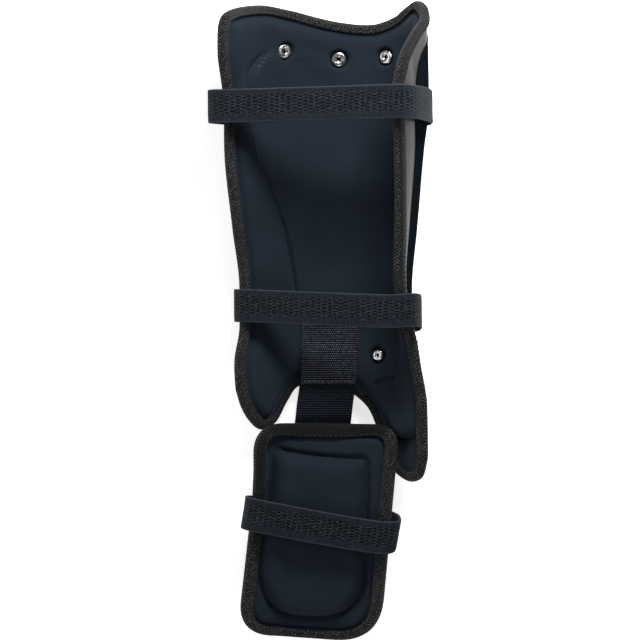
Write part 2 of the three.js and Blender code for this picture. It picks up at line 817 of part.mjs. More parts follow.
function footBinding() {
  const raise = (loop) => loop.map((p) => offFoot(p, 0));
  const normals = FOOT_LOOP.map(({ x, y }) => footNormal(x, y));
  return tape(tapeFrames(raise(FOOT_LOOP), normals, raise(FOOT_INSET)), 0, FOOT_EDGE);
}

function footStrap() {
  const { left, right, leftTurn, rightTurn, rightTailShift } = FOOT_STRAP;
  const across = new THREE.Vector3(right.x - left.x, right.y - left.y, 0).normalize();
  const turn = (end, way, stops, tailShift) => {
    const normal = footNormal(end.x, end.y);
    const out = across.clone().multiplyScalar(way);
    out.addScaledVector(normal, -out.dot(normal)).normalize();
    return stops.map(({ out: past, in: above }, i) => {
      const drift = (tailShift * i) / (stops.length - 1);
      if (past < -TAPE_LIP) {
        const inside = { x: end.x + way * past * across.x, y: end.y + way * past * across.y + drift };
        return offFoot(inside, above);
      }
      return offFoot({ x: end.x, y: end.y + drift }, above).addScaledVector(out, past);
    });
  };
  const stops = [...turn(left, -1, leftTurn, 0), ...turn(right, 1, rightTurn, rightTailShift)];
  const path = new THREE.CatmullRomCurve3(stops, false, "centripetal").getPoints(STRAP_STEPS);
  const sideways = new THREE.Vector3(-across.y, across.x, 0);
  return strip(path, sideways, STRAP_WIDTH, STRAP_WALL);
}

// Assembly

addMesh("shin_shell", pierce(layer(() => -SHELL_OUTSIDE, () => -GAP / 2), false), "shell");
addMesh("shin_liner", pierce(layer(() => GAP / 2, linerHeight), true), "liner");
addMesh("shin_binding", shinBinding(), "tape");
for (const rivet of RIVETS) {
  const { point, turn } = rivetFrame(rivet);
  const mesh = addMesh(rivet.name, rivetGeometry(), "nickel");
  mesh.position.copy(point);
  mesh.quaternion.copy(turn);
}
for (const strap of SHIN_STRAPS) addMesh(strap.name, shinStrap(strap), "elastic");
addMesh("webbing_patch", webbingPatch(), "webbing");
addMesh("webbing_link", webbingLink(), "webbing");
addMesh("foot_base", footBase(0), "liner");
addMesh("foot_pad", footPad(), "liner");
addMesh("foot_binding", footBinding(), "tape");
addMesh("foot_strap", footStrap(), "elastic");

// The origin is the middle of the underside of the guard's box
const box = new THREE.Box3().setFromObject(guard, true);
const middle = box.getCenter(new THREE.Vector3());
for (const mesh of guard.children) mesh.position.sub(new THREE.Vector3(middle.x, middle.y, box.min.z));

export default guard;
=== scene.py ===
"""Looks of the leg guard, built finely on the CAD part's own surfaces and in its frame."""
import math

import bpy
import numpy as np
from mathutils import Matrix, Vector
from mathutils.kdtree import KDTree


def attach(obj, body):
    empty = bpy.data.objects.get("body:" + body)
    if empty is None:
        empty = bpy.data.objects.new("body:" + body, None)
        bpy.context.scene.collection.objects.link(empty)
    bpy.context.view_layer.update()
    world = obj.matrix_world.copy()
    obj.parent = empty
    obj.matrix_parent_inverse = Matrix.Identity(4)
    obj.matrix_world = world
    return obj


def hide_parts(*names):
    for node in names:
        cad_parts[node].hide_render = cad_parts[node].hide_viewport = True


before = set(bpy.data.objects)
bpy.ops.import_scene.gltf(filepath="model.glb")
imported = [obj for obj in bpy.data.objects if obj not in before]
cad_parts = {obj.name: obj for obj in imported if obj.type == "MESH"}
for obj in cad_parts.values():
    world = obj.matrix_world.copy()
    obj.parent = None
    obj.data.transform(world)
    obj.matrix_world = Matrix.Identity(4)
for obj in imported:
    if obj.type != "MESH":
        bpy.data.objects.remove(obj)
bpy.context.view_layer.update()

# Shapes are worked out in millimetres about the middle of the picture, then moved into the part's frame
MM = 0.001
TO_FRAME = np.array([-0.428, 2.376, 0.0])

# Layers of the shin guard, measured from the face where liner and shell meet
GAP = 0.3
SHELL_OUTSIDE = 2.35
SHELL_RIM = 1.75
SHELL_GRID = (150, 200)
LINER_EDGE = 1.9
LINER_FULL = 8.0
LINER_HOLLOW = 6.0
LINER_SHOULDER = 8.0
LINER_GRID = (86, 118)

# The section across the shin guard
FLAT_HALF = 12.0
LEFT_RADIUS = 58.0
SHOULDER_TURN = math.radians(35)
RIGHT_CORNER = 30.0
# y, spine, lift, left reach, left turn, right reach, right turn, right wall
SECTIONS = (
    (-115, 6, 7, 58, 48, 66, 60, 13),
    (-60, 6.5, 4, 61.5, 50, 64.5, 72, 15),
    (-30, 7, 1.4, 63.8, 53, 59, 84, 17),
    (-5, 7.5, 0, 60.8, 56, 54.8, 95, 20),
    (22, 8, 0, 61.3, 57, 53.5, 105, 24),
    (66, 9, 0, 67.2, 58, 56.3, 109, 30),
    (118, 9.8, 0, 73, 58, 60, 114, 35),
    (147, 10.3, 0, 73.8, 58, 62.8, 117, 41),
    (186, 11, 3, 79, 57, 61.5, 114.5, 41),
    (225, 11.5, 9, 82, 55, 60.5, 112, 40),
)
# across, y
TOP_EDGE = (
    (-1, 180), (-0.96, 201), (-0.86, 210.5), (-0.55, 217), (-0.32, 215.2), (-0.12, 210.4),
    (0.05, 206.7), (0.17, 205.4), (0.25, 206.8), (0.34, 211), (0.4, 216), (0.48, 219.6),
    (0.57, 215), (0.66, 206), (0.82, 192), (0.94, 177), (1, 158),
)
BOTTOM_EDGE = (
    (-1, -48), (-0.95, -59), (-0.86, -68), (-0.73, -74.5), (-0.58, -70), (-0.45, -56),
    (-0.32, -45), (-0.08, -42), (0.1, -45), (0.22, -51), (0.34, -60), (0.42, -71.5),
    (0.52, -90), (0.62, -103.5), (0.72, -109), (0.82, -110.3), (0.93, -107), (1, -95),
)
ACROSS_SCALE = 100.0

# The crease of the liner, seen from above: y, x
CREASE = (
    (-10, -13), (22, -17), (64, -24), (102, -37), (136, -44.5), (167, -47), (182, -40), (191, -31),
)
CREASE_STEP = 1.6
# The part with pale stitches, and how far right of the crease they lie
CREASE_SEWN = (185, 175)
CREASE_ASIDE = 1.4

# Edge tape
TAPE_WALL = 1.2
TAPE_CLEAR = 0.45
TAPE_LIP = 5.5
TAPE_FOLD = 2.3
TAPE_FLAT = 1.6
TAPE_SEAM = 4.3
THREAD_PITCH = 2.3
HERRINGBONE = 4.6
# How much narrower its lip is: at the knee, at the tails, on the left wing, at the arch, at the toe
LIP_KNEE, LIP_TAIL, LIP_LEFT, LIP_ARCH, LIP_TOE = 1.5, 1.0, 2.4, 1.8, 1.0
# How much wider it is at the top of the foot guard
LIP_TOP = 1.5
# How much darker the tape is, with fewer pale flecks: near the knee; on the right wing's outside, as painted
# shade; on the foot guard's left lip, as painted shade
FEWER_FLECKS_KNEE, PAINTED_SHADE_BACK, PAINTED_SHADE_FRONT = 0.5, 0.75, 0.85

# Rivets: node name, x, y, size
RIVETS = (
    ("rivet_top_left", -27.0, 189.0, 1.1),
    ("rivet_top_middle", 13.4, 184.0, 1.06),
    ("rivet_top_right", 48.0, 185.0, 1.0),
    ("rivet_low_right", 42.7, -25.0, 0.8),
)
RIVET_SEAT = 4.3

# The ring that each rivet presses into the liner
MOAT_RADIUS = 5.8
MOAT_WIDTH = 2.5
MOAT_FLOOR = 0.9

# The raised pad of the liner on the long tail, as a line seen from above with a round end
TONGUE_TOP = (48.0, -20.0)
TONGUE_END = (55.4, -73.2)
TONGUE_HALF = 9.0
TONGUE_RISE = 2.0
TONGUE_EDGE = 3.4

# A short slit in the liner, seen from above
SLIT = ((38.2, -43.4), (50.4, -39.2))

# Grooves pressed into the padding: depth, width
CREASE_GROOVE = (5.2, 1.2)
SEAM_GROOVE = (2.8, 1.3)
SLIT_GROOVE = (2.6, 0.8)
PAD_GROOVE = (3.0, 2.2)
TOE_GROOVE = (2.2, 1.2)
TOP_GROOVE = (2.6, 3.2)
FOOT_VALLEY = 3.2

# Stitches: length, space, radius
CREASE_STITCH = (1.5, 2.6, 0.32)
TAPE_STITCH = (2.7, 0.9, 0.28)
STRAP_STITCH = (2.4, 0.8, 0.26)
WEBBING_STITCH = (2.3, 0.8, 0.27)

# The thicker panel on the shell's outside: y, distance from the side edges; and its distance from both ends
PANEL_SIDE = ((-115, 14), (30, 14.5), (60, 18), (91, 23.5), (126, 27), (160, 25), (190, 16), (225, 13))
PANEL_END = 10.0
RIM_BULGE = 0.7

# Straps: points round a wing's edge are (out past the edge, in towards the leg)
STRAP_WIDTH = 23.0
STRAP_WALL = 1.7
STRAP_REST = 4.15
STRAP_DRAWN = (0.1, 4.0)
DASH_PITCH = 4.0
DASH_RISE = 2.2
DASH_MIDDLE = 0.8
DASH_BAND = 7.0
STRAP_BOX = ((2.0, -9.0), (2.0, 9.0), (15.0, 9.0), (15.0, -9.0), (2.0, -9.0), (15.0, 9.0))
SHIN_STRAPS = (
    {
        "name": "strap_upper", "left_y": 146.5, "right_y": 147.0, "tail_y": 147.0, "left_tails": (46, 28),
        "left_turn": ((-12, -6), (2, -9), (9, -9.5), (12.4, -3), (9.8, 6)),
        "right_turn": ((5, 3), (5.5, -4), (1, -8.6), (-7, -10.8), (-20, -10.4), (-36, -8)),
        "right_tails": (62, 80),
    },
    {
        "name": "strap_lower", "left_y": 10.0, "right_y": 7.0, "tail_y": 2.5, "left_tails": (36, 23),
        "left_turn": ((-11, -6), (-3, -7), (2, -5.8), (4.2, 0), (2.9, 7.2)),
        "right_turn": ((6.5, 4.5), (8, -3), (4, -8), (-4, -10), (-16, -9), (-28, -6.5)),
        "right_tails": (40, 50),
    },
)

# Webbing: y, x, clearance above the liner; and y, x, z of the link
WEBBING_WIDTH = 39.5
PATCH_WIDTH = 42.0
WEBBING_WALL = 1.6
WEBBING_PITCH = 1.6
WEBBING_STEPS = 240
PATCH_SEAT = LINER_HOLLOW + GAP
PATCH_SEAM = 1.8
PATCH_MIDDLE = (6.5, -17.0)
PATCH_HOLD = (PATCH_WIDTH / 2 + 1, 31.0)
PATCH_ROWS = ((-46, 5.6, 3.2), (-25, 6.3, 2.0), (-16, 6.6, 0.3), (10, 7.0, 0.3))
LINK_ROWS = (
    (-90, 0.6, 8.8), (-76, 1.7, 9.4), (-66, 2.7, 13.6), (-58, 3.6, 13.2), (-44, 5.4, 11.5), (-30, 6, 11),
)

# Foot guard: outline corners are x, y and the length that the rounding takes
FOOT_OUTLINE = (
    (-56.6, -218.6, 22), (40.8, -225.6, 31), (54, -75, 15), (-45, -73.9, 19), (-45, -118, 20),
)
PAD_OUTLINE = (
    (-45.5, -208.3, 38), (34.3, -209, 38), (35, -95.9, 5), (1, -97, 26), (-34, -89.4, 7),
    (-34.5, -120.4, 18), (-44.8, -159.6, 9),
)
FOOT_TOE_Y = -222.0
FOOT_TOE_Z = 1.85
FOOT_TILT = 0.113
FOOT_AXIS_X = -6.5
FOOT_AXIS_LEAN = 0.077
FOOT_FLAT_HALF = 18.0
FOOT_HALF = 50.0
FOOT_FLANK_RISE = 14.0
FOOT_EDGE = 4.2
FOOT_FULL = 7.0
PAD_TOP = 12.6
PAD_CROWN = 0.9
PAD_SHOULDER = 5.0
PAD_BLUR = 2.4
PAD_SEAT = FOOT_EDGE - 3.0
FOOT_STRAP = {
    "left": (-49.0, -134.6),
    "right": (48.0, -150.0),
    "tail_shift": 6.5,
    "left_turn": ((-24, -2.6), (-8, -4.2), (0.5, -4.6), (4.8, 1.5), (2.6, 9.4)),
    "right_turn": ((4.5, 9.1), (9, 2.5), (3, -4.6), (-8, -4.2), (-24, -2.6)),
}

# Padding pushing the cloth out
SWELL_CLOTH = {
    "quality": 5, "mass": 0.15, "tension_stiffness": 12, "compression_stiffness": 12, "shear_stiffness": 4,
    "bending_stiffness": 3, "use_pressure": True, "uniform_pressure_force": 4.0, "shrink_min": -0.012,
}
SWELL_FRAMES = 20
SWELL_LIMIT = 1.4
SWELL_CALM = 6
PAD_CALM = 30

# Steps round the foot guard's outlines, and finer ones that distances are taken to
FOOT_STEPS = 300
FOOT_FINE = 900


# Numbers and curves

def ease(low, high, value):
    t = np.clip((np.asarray(value, float) - low) / (high - low), 0, 1)
    return t * t * (3 - 2 * t)


def puff(t):
    """A quarter round from 0 to 1."""
    t = np.clip(t, 0, 1)
    return np.sqrt(1 - (1 - t) ** 2)


def unit(v):
    return v / np.maximum(np.linalg.norm(v, axis=-1, keepdims=True), 1e-12)


def groove(distance, size):
    """Depth of a groove at a distance from its middle line."""
    depth, width = size
    return depth * np.exp(-((distance / width) ** 2))


def looped(points):
    return np.vstack([points, points[:1]])


def run_length(line):
    """Distance along a line to each of its points."""
    return np.concatenate([[0], np.cumsum(np.linalg.norm(np.diff(line, axis=0), axis=1))])


def at_run(run, values, at):
    """The columns of values at distances along a line."""
    return np.stack([np.interp(at, run, column) for column in values.T], 1)


def from_table(rows, y):
    """All columns of a table at y, by a curve that never overshoots its rows."""
    rows = np.asarray(rows, float)
    ys = rows[:, 0]
    secant = np.diff(rows, axis=0) / np.diff(ys)[:, None]
    product = secant[:-1] * secant[1:]
    total = np.where(product > 0, secant[:-1] + secant[1:], 1)
    slope = np.zeros_like(rows)
    slope[1:-1] = np.where(product > 0, 2 * product / total, 0)
    y = np.clip(np.asarray(y, float), ys[0], ys[-1])
    i = np.clip(np.searchsorted(ys, y, side="right") - 1, 0, len(ys) - 2)
    span = (ys[i + 1] - ys[i])[..., None]
    t = (y - ys[i])[..., None] / span
    ends = rows[i] + (rows[i + 1] - rows[i]) * t * t * (3 - 2 * t)
    return ends + span * (t * (1 - t) ** 2 * slope[i] + t * t * (t - 1) * slope[i + 1])


def uniform_spline(rows, count):
    """A smooth curve through rows, with the same share of points between each two."""
    p = np.asarray(rows, float)
    t = np.linspace(0, len(p) - 1, count + 1)
    i = np.minimum(t.astype(int), len(p) - 2)
    w = (t - i)[:, None]
    p0, p1, p2, p3 = p[np.maximum(i - 1, 0)], p[i], p[i + 1], p[np.minimum(i + 2, len(p) - 1)]
    v0, v1 = (p2 - p0) / 2, (p3 - p1) / 2
    return (2 * p1 - 2 * p2 + v0 + v1) * w**3 + (-3 * p1 + 3 * p2 - 2 * v0 - v1) * w**2 + v0 * w + p1


def centripetal_spline(stops, per_span):
    """A smooth curve through points in space that keeps clear of loops."""
    p = np.asarray(stops, float)
    p = np.vstack([2 * p[0] - p[1], p, 2 * p[-1] - p[-2]])
    pieces = []
    for i in range(len(p) - 3):
        p0, p1, p2, p3 = p[i:i + 4]
        d0, d1, d2 = (math.sqrt(np.linalg.norm(b - a)) for a, b in ((p0, p1), (p1, p2), (p2, p3)))
        t1 = ((p1 - p0) / d0 - (p2 - p0) / (d0 + d1) + (p2 - p1) / d1) * d1
        t2 = ((p2 - p1) / d1 - (p3 - p1) / (d1 + d2) + (p3 - p2) / d2) * d1
        w = (np.arange(per_span) / per_span)[:, None]
        cubic = 2 * p1 - 2 * p2 + t1 + t2
        pieces.append(p1 + t1 * w + (-3 * p1 + 3 * p2 - 2 * t1 - t2) * w**2 + cubic * w**3)
    return np.vstack([*pieces, p[-2:-1]])


def even_steps(points, count, closed=False):
    """Points at even distances along a line."""
    p = looped(points) if closed else points
    run = run_length(p)
    return at_run(run, p, np.linspace(0, run[-1], count + 1)[: count if closed else None])


def distance_to(points, targets):
    """How far each point lies from the nearest target."""
    tree = KDTree(len(targets))
    for i, target in enumerate(targets):
        tree.insert(target, i)
    tree.balance()
    flat = np.asarray(points).reshape(-1, 3)
    return np.array([tree.find(p)[2] for p in flat]).reshape(np.asarray(points).shape[:-1])


# The curved face where liner and shell meet

def half_section(share, radius, first, second, wall):
    """Half of the section, a flat, two arcs and a straight wall, at a share of its length.

    Gives the distance out, the height, the steepness there and the whole length.
    """
    arc, corner = radius * first, RIGHT_CORNER * second
    total = FLAT_HALF + arc + corner + wall
    s = share * total
    a = np.clip(s - FLAT_HALF, 0, arc) / radius
    c = np.clip(s - FLAT_HALF - arc, 0, corner) / RIGHT_CORNER
    rest = np.maximum(s - FLAT_HALF - arc - corner, 0)
    bend = RIGHT_CORNER * (np.sin(first + c) - np.sin(first))
    out = np.minimum(s, FLAT_HALF) + radius * np.sin(a) + bend + rest * np.cos(first + second)
    bend = RIGHT_CORNER * (np.cos(first) - np.cos(first + c))
    return out, radius * (1 - np.cos(a)) + bend + rest * np.sin(first + second), a + c, total


def form_point(across, y):
    """Points on the face, the steepness there, and the length of the section from spine to edge."""
    across, y = np.broadcast_arrays(np.asarray(across, float), np.asarray(y, float))
    row = from_table(SECTIONS, y)
    spine, lift, left_reach, left_turn, right_reach, right_turn, wall = np.moveaxis(row[..., 1:], -1, 0)
    turn = np.radians(left_turn)
    left_wall = (left_reach - FLAT_HALF - LEFT_RADIUS * np.sin(turn)) / np.cos(turn)
    left = half_section(np.abs(across), LEFT_RADIUS, turn, 0.0, left_wall)
    turn = np.radians(right_turn)
    corner = RIGHT_CORNER * (np.sin(np.minimum(turn, math.pi / 2)) - math.sin(SHOULDER_TURN))
    lean = wall * np.maximum(0, np.cos(turn))
    radius = (right_reach - FLAT_HALF - corner - lean) / math.sin(SHOULDER_TURN)
    right = half_section(np.abs(across), radius, SHOULDER_TURN, turn - SHOULDER_TURN, wall)
    out, height, angle, total = (np.where(across > 0, *sides) for sides in zip(right, left))
    x = spine + np.where(across > 0, out, -out)
    return np.stack([x, y, SHELL_OUTSIDE + lift + height], -1), angle, total


def form_frame(across, y):
    """Points on the face, the normal towards the leg, and the way out to the nearer edge."""
    point, angle, _ = form_point(across, y)
    h = 0.5
    along_y = form_point(across, np.asarray(y) + h)[0] - form_point(across, np.asarray(y) - h)[0]
    side = np.where(np.asarray(across) > 0, 1.0, -1.0) + np.zeros_like(angle)
    out = np.stack([side * np.cos(angle), np.zeros_like(angle), np.sin(angle)], -1)
    normal = unit(np.cross(out * side[..., None], along_y))
    return point, normal, out


def across_under(x, y):
    """The place across the section under a point seen from above, left edge to right shoulder."""
    low, high = -1.0, 0.6
    for _ in range(40):
        middle = (low + high) / 2
        if form_point(middle, y)[0][0] < x:
            low = middle
        else:
            high = middle
    return low


def form_seen(x, y, height):
    """The point and normal of the face from which a point at a height is seen at a place in plan."""
    aim = np.array([x, y], float)
    for _ in range(4):
        point, normal, _ = form_frame(across_under(*aim), aim[1])
        aim = aim + (x, y) - (point + normal * height)[:2]
    return point, normal


def edge_lines(columns):
    """The lower and the upper edge as (across, y), left to right."""
    scale = (ACROSS_SCALE, 1.0)
    return [uniform_spline(np.array(edge) * scale, columns) / scale for edge in (BOTTOM_EDGE, TOP_EDGE)]


def edge_loop(columns, rows):
    """The outline as (across, y), anticlockwise from the lower left corner, seen from the leg."""
    bottom, top = edge_lines(columns)
    share = (np.arange(1, rows) / rows)[:, None]
    right = bottom[-1] + (top[-1] - bottom[-1]) * share
    left = top[0] + (bottom[0] - top[0]) * share
    return np.vstack([bottom, right, top[::-1], left])


def panel_grid(columns, rows):
    """Rows of across and of y that fill the outline from its lower to its upper edge."""
    bottom, top = edge_lines(columns)
    share = (np.arange(rows + 1) / rows)[:, None, None]
    return np.moveaxis((1 - share) * bottom + share * top, -1, 0)


def edge_frames(point, normal):
    """Points of a closed edge, their normals, and the way out past the edge."""
    along = unit(np.roll(point, -1, 0) - np.roll(point, 1, 0))
    return point, normal, unit(np.cross(along, normal))


def outline_frames(count):
    """Even steps along the outline, with normals towards the leg."""
    loop = edge_loop(400, 300)
    spaced = even_steps(np.hstack([form_point(loop[:, 0], loop[:, 1])[0], loop]), count, True)
    return edge_frames(*form_frame(spaced[:, 3], spaced[:, 4])[:2])


# The foot guard's underside

def foot_under(x, y):
    axis = FOOT_AXIS_X + FOOT_AXIS_LEAN * (y - FOOT_TOE_Y)
    flank = np.maximum(0, np.abs(x - axis) - FOOT_FLAT_HALF) / (FOOT_HALF - FOOT_FLAT_HALF)
    return FOOT_TOE_Z + FOOT_TILT * (y - FOOT_TOE_Y) + FOOT_FLANK_RISE * flank**2


def foot_frame(xy):
    """Points on the underside and the normals up from it, for points in plan."""
    x, y = np.asarray(xy, float)[..., 0], np.asarray(xy, float)[..., 1]
    h = 0.5
    slope_x = (foot_under(x + h, y) - foot_under(x - h, y)) / (2 * h)
    slope_y = (foot_under(x, y + h) - foot_under(x, y - h)) / (2 * h)
    normal = unit(np.stack([-slope_x, -slope_y, np.ones_like(x)], -1))
    return np.stack([x, y, foot_under(x, y)], -1), normal


def rounded_loop(corners, count):
    """A closed line in plan with each corner rounded by a parabola."""
    points = []
    for i, (x, y, cut) in enumerate(corners):
        here = np.array([x, y], float)
        ends = []
        for other in (corners[i - 1], corners[(i + 1) % len(corners)]):
            way = np.array(other[:2], float) - here
            ends.append(here + way * cut / np.linalg.norm(way))
        t = np.linspace(0, 1, 24)[:, None]
        points.append((1 - t) ** 2 * ends[0] + 2 * t * (1 - t) * here + t * t * ends[1])
    return even_steps(np.vstack(points), count, True)


# Padding

def swell(start, normal, held, wrap=False, calm=SWELL_CALM):
    """How far padding pushes out a face of cloth that is held down in places, in millimetres."""
    rows, columns = held.shape
    mesh = bpy.data.meshes.new("cloth_face")
    mesh.from_pydata((start.reshape(-1, 3) * MM).tolist(), [], quads(rows, columns, False, wrap)[0].tolist())
    cloth = bpy.data.objects.new("cloth_face", mesh)
    bpy.context.scene.collection.objects.link(cloth)
    group = cloth.vertex_groups.new(name="held")
    group.add(np.flatnonzero(held.ravel()).tolist(), 1.0, "REPLACE")
    modifier = cloth.modifiers.new("cloth", "CLOTH")
    for key, value in SWELL_CLOTH.items():
        setattr(modifier.settings, key, value)
    modifier.settings.vertex_group_mass = group.name
    modifier.settings.effector_weights.gravity = 0
    modifier.collision_settings.use_collision = False
    modifier.point_cache.frame_end = SWELL_FRAMES
    scene = bpy.context.scene
    for step in range(1, SWELL_FRAMES + 1):
        scene.frame_set(step)
    moved = np.empty(rows * columns * 3, np.float32)
    cloth.evaluated_get(bpy.context.evaluated_depsgraph_get()).data.vertices.foreach_get("co", moved)
    scene.frame_set(1)
    bpy.data.objects.remove(cloth)
    bpy.data.meshes.remove(mesh)
    out = ((moved.reshape(rows, columns, 3) / MM - start) * normal).sum(-1)
    return calmed(np.clip(out, -SWELL_LIMIT, SWELL_LIMIT), calm, wrap)


def calmed(grid, passes, wrap):
    """Values averaged with their neighbours, as foam evens out small wrinkles."""
    for _ in range(passes):
        wide = np.pad(grid, ((0, 0), (1, 1)), "wrap" if wrap else "edge")
        grid = (wide[:, :-2] + 2 * grid + wide[:, 2:]) / 4
        tall = np.pad(grid, ((1, 1), (0, 0)), "edge")
        grid = (tall[:-2] + 2 * grid + tall[2:]) / 4
    return grid


def finer(coarse):
    """A grid with a point added between each two."""
    fine = np.zeros((2 * coarse.shape[0] - 1, 2 * coarse.shape[1] - 1))
    fine[::2, ::2] = coarse
    fine[1::2, ::2] = (coarse[:-1] + coarse[1:]) / 2
    fine[:, 1::2] = (fine[:, :-1:2] + fine[:, 2::2]) / 2
    return fine


# Meshes

def add_piece(name, points, faces, cloth, look, node=None, slot=None):
    """One piece in the part's frame. cloth gives along, across and wear, lowered where shade is painted, at
    each face corner.
    """
    mesh = bpy.data.meshes.new(name)
    mesh.from_pydata(((np.asarray(points) + TO_FRAME) * MM).tolist(), [], [tuple(f) for f in faces])
    mesh.polygons.foreach_set("use_smooth", np.ones(len(mesh.polygons), bool))
    if cloth is not None:
        layer = mesh.attributes.new("cloth", "FLOAT_VECTOR", "CORNER")
        layer.data.foreach_set("vector", np.asarray(cloth, np.float32).ravel())
    mesh.materials.append(look)
    mesh.update()
    piece = bpy.data.objects.new(name, mesh)
    bpy.context.scene.collection.objects.link(piece)
    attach(piece, "root")
    if node:
        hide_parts(node)
    return piece


def quads(rows, columns, wrap_rows=False, wrap_columns=False):
    """Faces of a grid of points, and the row and column of each corner."""
    steps = np.arange(rows if wrap_rows else rows - 1), np.arange(columns if wrap_columns else columns - 1)
    r, c = np.meshgrid(*steps, indexing="ij")
    corner_r = np.stack([r, r, r + 1, r + 1], -1).reshape(-1, 4)
    corner_c = np.stack([c, c + 1, c + 1, c], -1).reshape(-1, 4)
    return (corner_r % rows) * columns + corner_c % columns, corner_r, corner_c


def layer_mesh(point, normal, lower, upper):
    """A closed layer over a grid, between two heights along the normals."""
    rows, columns = point.shape[:2]
    top = (point + normal * upper[..., None]).reshape(-1, 3)
    bottom = (point + normal * lower[..., None]).reshape(-1, 3)
    faces = quads(rows, columns)[0]
    start = rows * columns
    index = np.arange(start).reshape(rows, columns)
    rim = np.concatenate([index[0], index[1:, -1], index[-1, -2::-1], index[-2:0:-1, 0]])
    after = np.roll(rim, -1)
    sides = np.stack([rim + start, after + start, after, rim], 1)
    return np.vstack([top, bottom]), np.vstack([faces, faces[:, ::-1] + start, sides])


def sweep(sections, along, across, closed, wear_and_shade=0.0):
    """A skin over rows of closed sections. A closed sweep joins its ends; an open one gets end caps."""
    rows, columns = sections.shape[:2]
    faces, corner_r, corner_c = quads(rows, columns, closed, True)
    worn_and_shaded = (np.zeros((rows, columns)) + wear_and_shade)[corner_r % rows, corner_c % columns]
    cloth = np.stack([np.asarray(along)[corner_r], np.asarray(across)[corner_c], worn_and_shaded], -1)
    faces, cloth = [list(f) for f in faces], list(cloth.reshape(-1, 3))
    if not closed:
        for ring, way in ((np.arange(columns), 1), (np.arange(columns) + (rows - 1) * columns, -1)):
            faces.append(list(ring[::way]))
            cloth.extend([(along[ring[0] // columns], 0.0, 0.0)] * columns)
    return sections.reshape(-1, 3), faces, cloth


def strip_sweep(skin, along, section):
    """An open sweep of a strip's section, with the cloth measured across from its middle."""
    return sweep(skin, along, np.append(section[:, 0], section[0, 0]), False)


def rounded_strip(width, wall, flat_steps):
    """The section of a flat strip with round edges, as (across, above)."""
    half, radius = width / 2, wall / 2
    flat = np.linspace(-half + radius, half - radius, flat_steps)
    bend = np.linspace(math.pi / 2, -math.pi / 2, 7)[1:-1]
    right = np.stack([half - radius + radius * np.cos(bend), radius * np.sin(bend)], 1)
    top = np.stack([flat, np.full(flat_steps, radius)], 1)
    return np.vstack([top, right, -top, -right])


def lathe(rows, sides):
    """A turned skin about +Z from (radius, height) rows that start and end on the axis."""
    rows = np.asarray(rows, float)
    ring = np.arange(sides) * 2 * math.pi / sides
    body = rows[1:-1]
    x = body[:, :1] * np.cos(ring)
    y = body[:, :1] * np.sin(ring)
    z = np.repeat(body[:, 1:], sides, 1)
    points = np.stack([x, y, z], -1).reshape(-1, 3)
    faces = [list(f) for f in quads(len(body), sides, False, True)[0]]
    low, high = len(points), len(points) + 1
    points = np.vstack([points, [0, 0, rows[0, 1]], [0, 0, rows[-1, 1]]])
    last = (len(body) - 1) * sides
    for i in range(sides):
        after = (i + 1) % sides
        faces.append([low, after, i])
        faces.append([high, last + i, last + after])
    return points, faces


def sew(name, runs, size, look, slot):
    """A piece of short threads that dip at both ends, along lines with normals."""
    length, space, radius = size
    rings, sides = 6, 6
    turn = np.arange(sides) * 2 * math.pi / sides
    points, faces = [], []
    face_rows = quads(rings, sides, False, True)[0]
    for line, normal in runs:
        run = run_length(line)
        for start in np.arange(0, run[-1] - length, length + space):
            at = start + length * np.linspace(0, 1, rings)
            spot = at_run(run, line, at)
            up = unit(at_run(run, normal, at))
            aside = unit(np.cross(unit(np.gradient(spot, axis=0)), up))
            arch = np.sin(np.linspace(0, math.pi, rings))[:, None]
            spot = spot + up * radius * (1.5 * arch - 0.9)
            thick = radius * (0.55 + 0.45 * arch)
            ring = aside[:, None] * np.cos(turn)[:, None] + up[:, None] * np.sin(turn)[:, None]
            first = len(points) * rings * sides
            points.append((spot[:, None] + ring * thick[:, :, None]).reshape(-1, 3))
            faces.extend((face_rows + first).tolist())
            faces.append(list(range(first + sides - 1, first - 1, -1)))
            faces.append(list(range(first + (rings - 1) * sides, first + rings * sides)))
    add_piece(name, np.vstack(points), faces, None, look, slot=slot)


# Materials

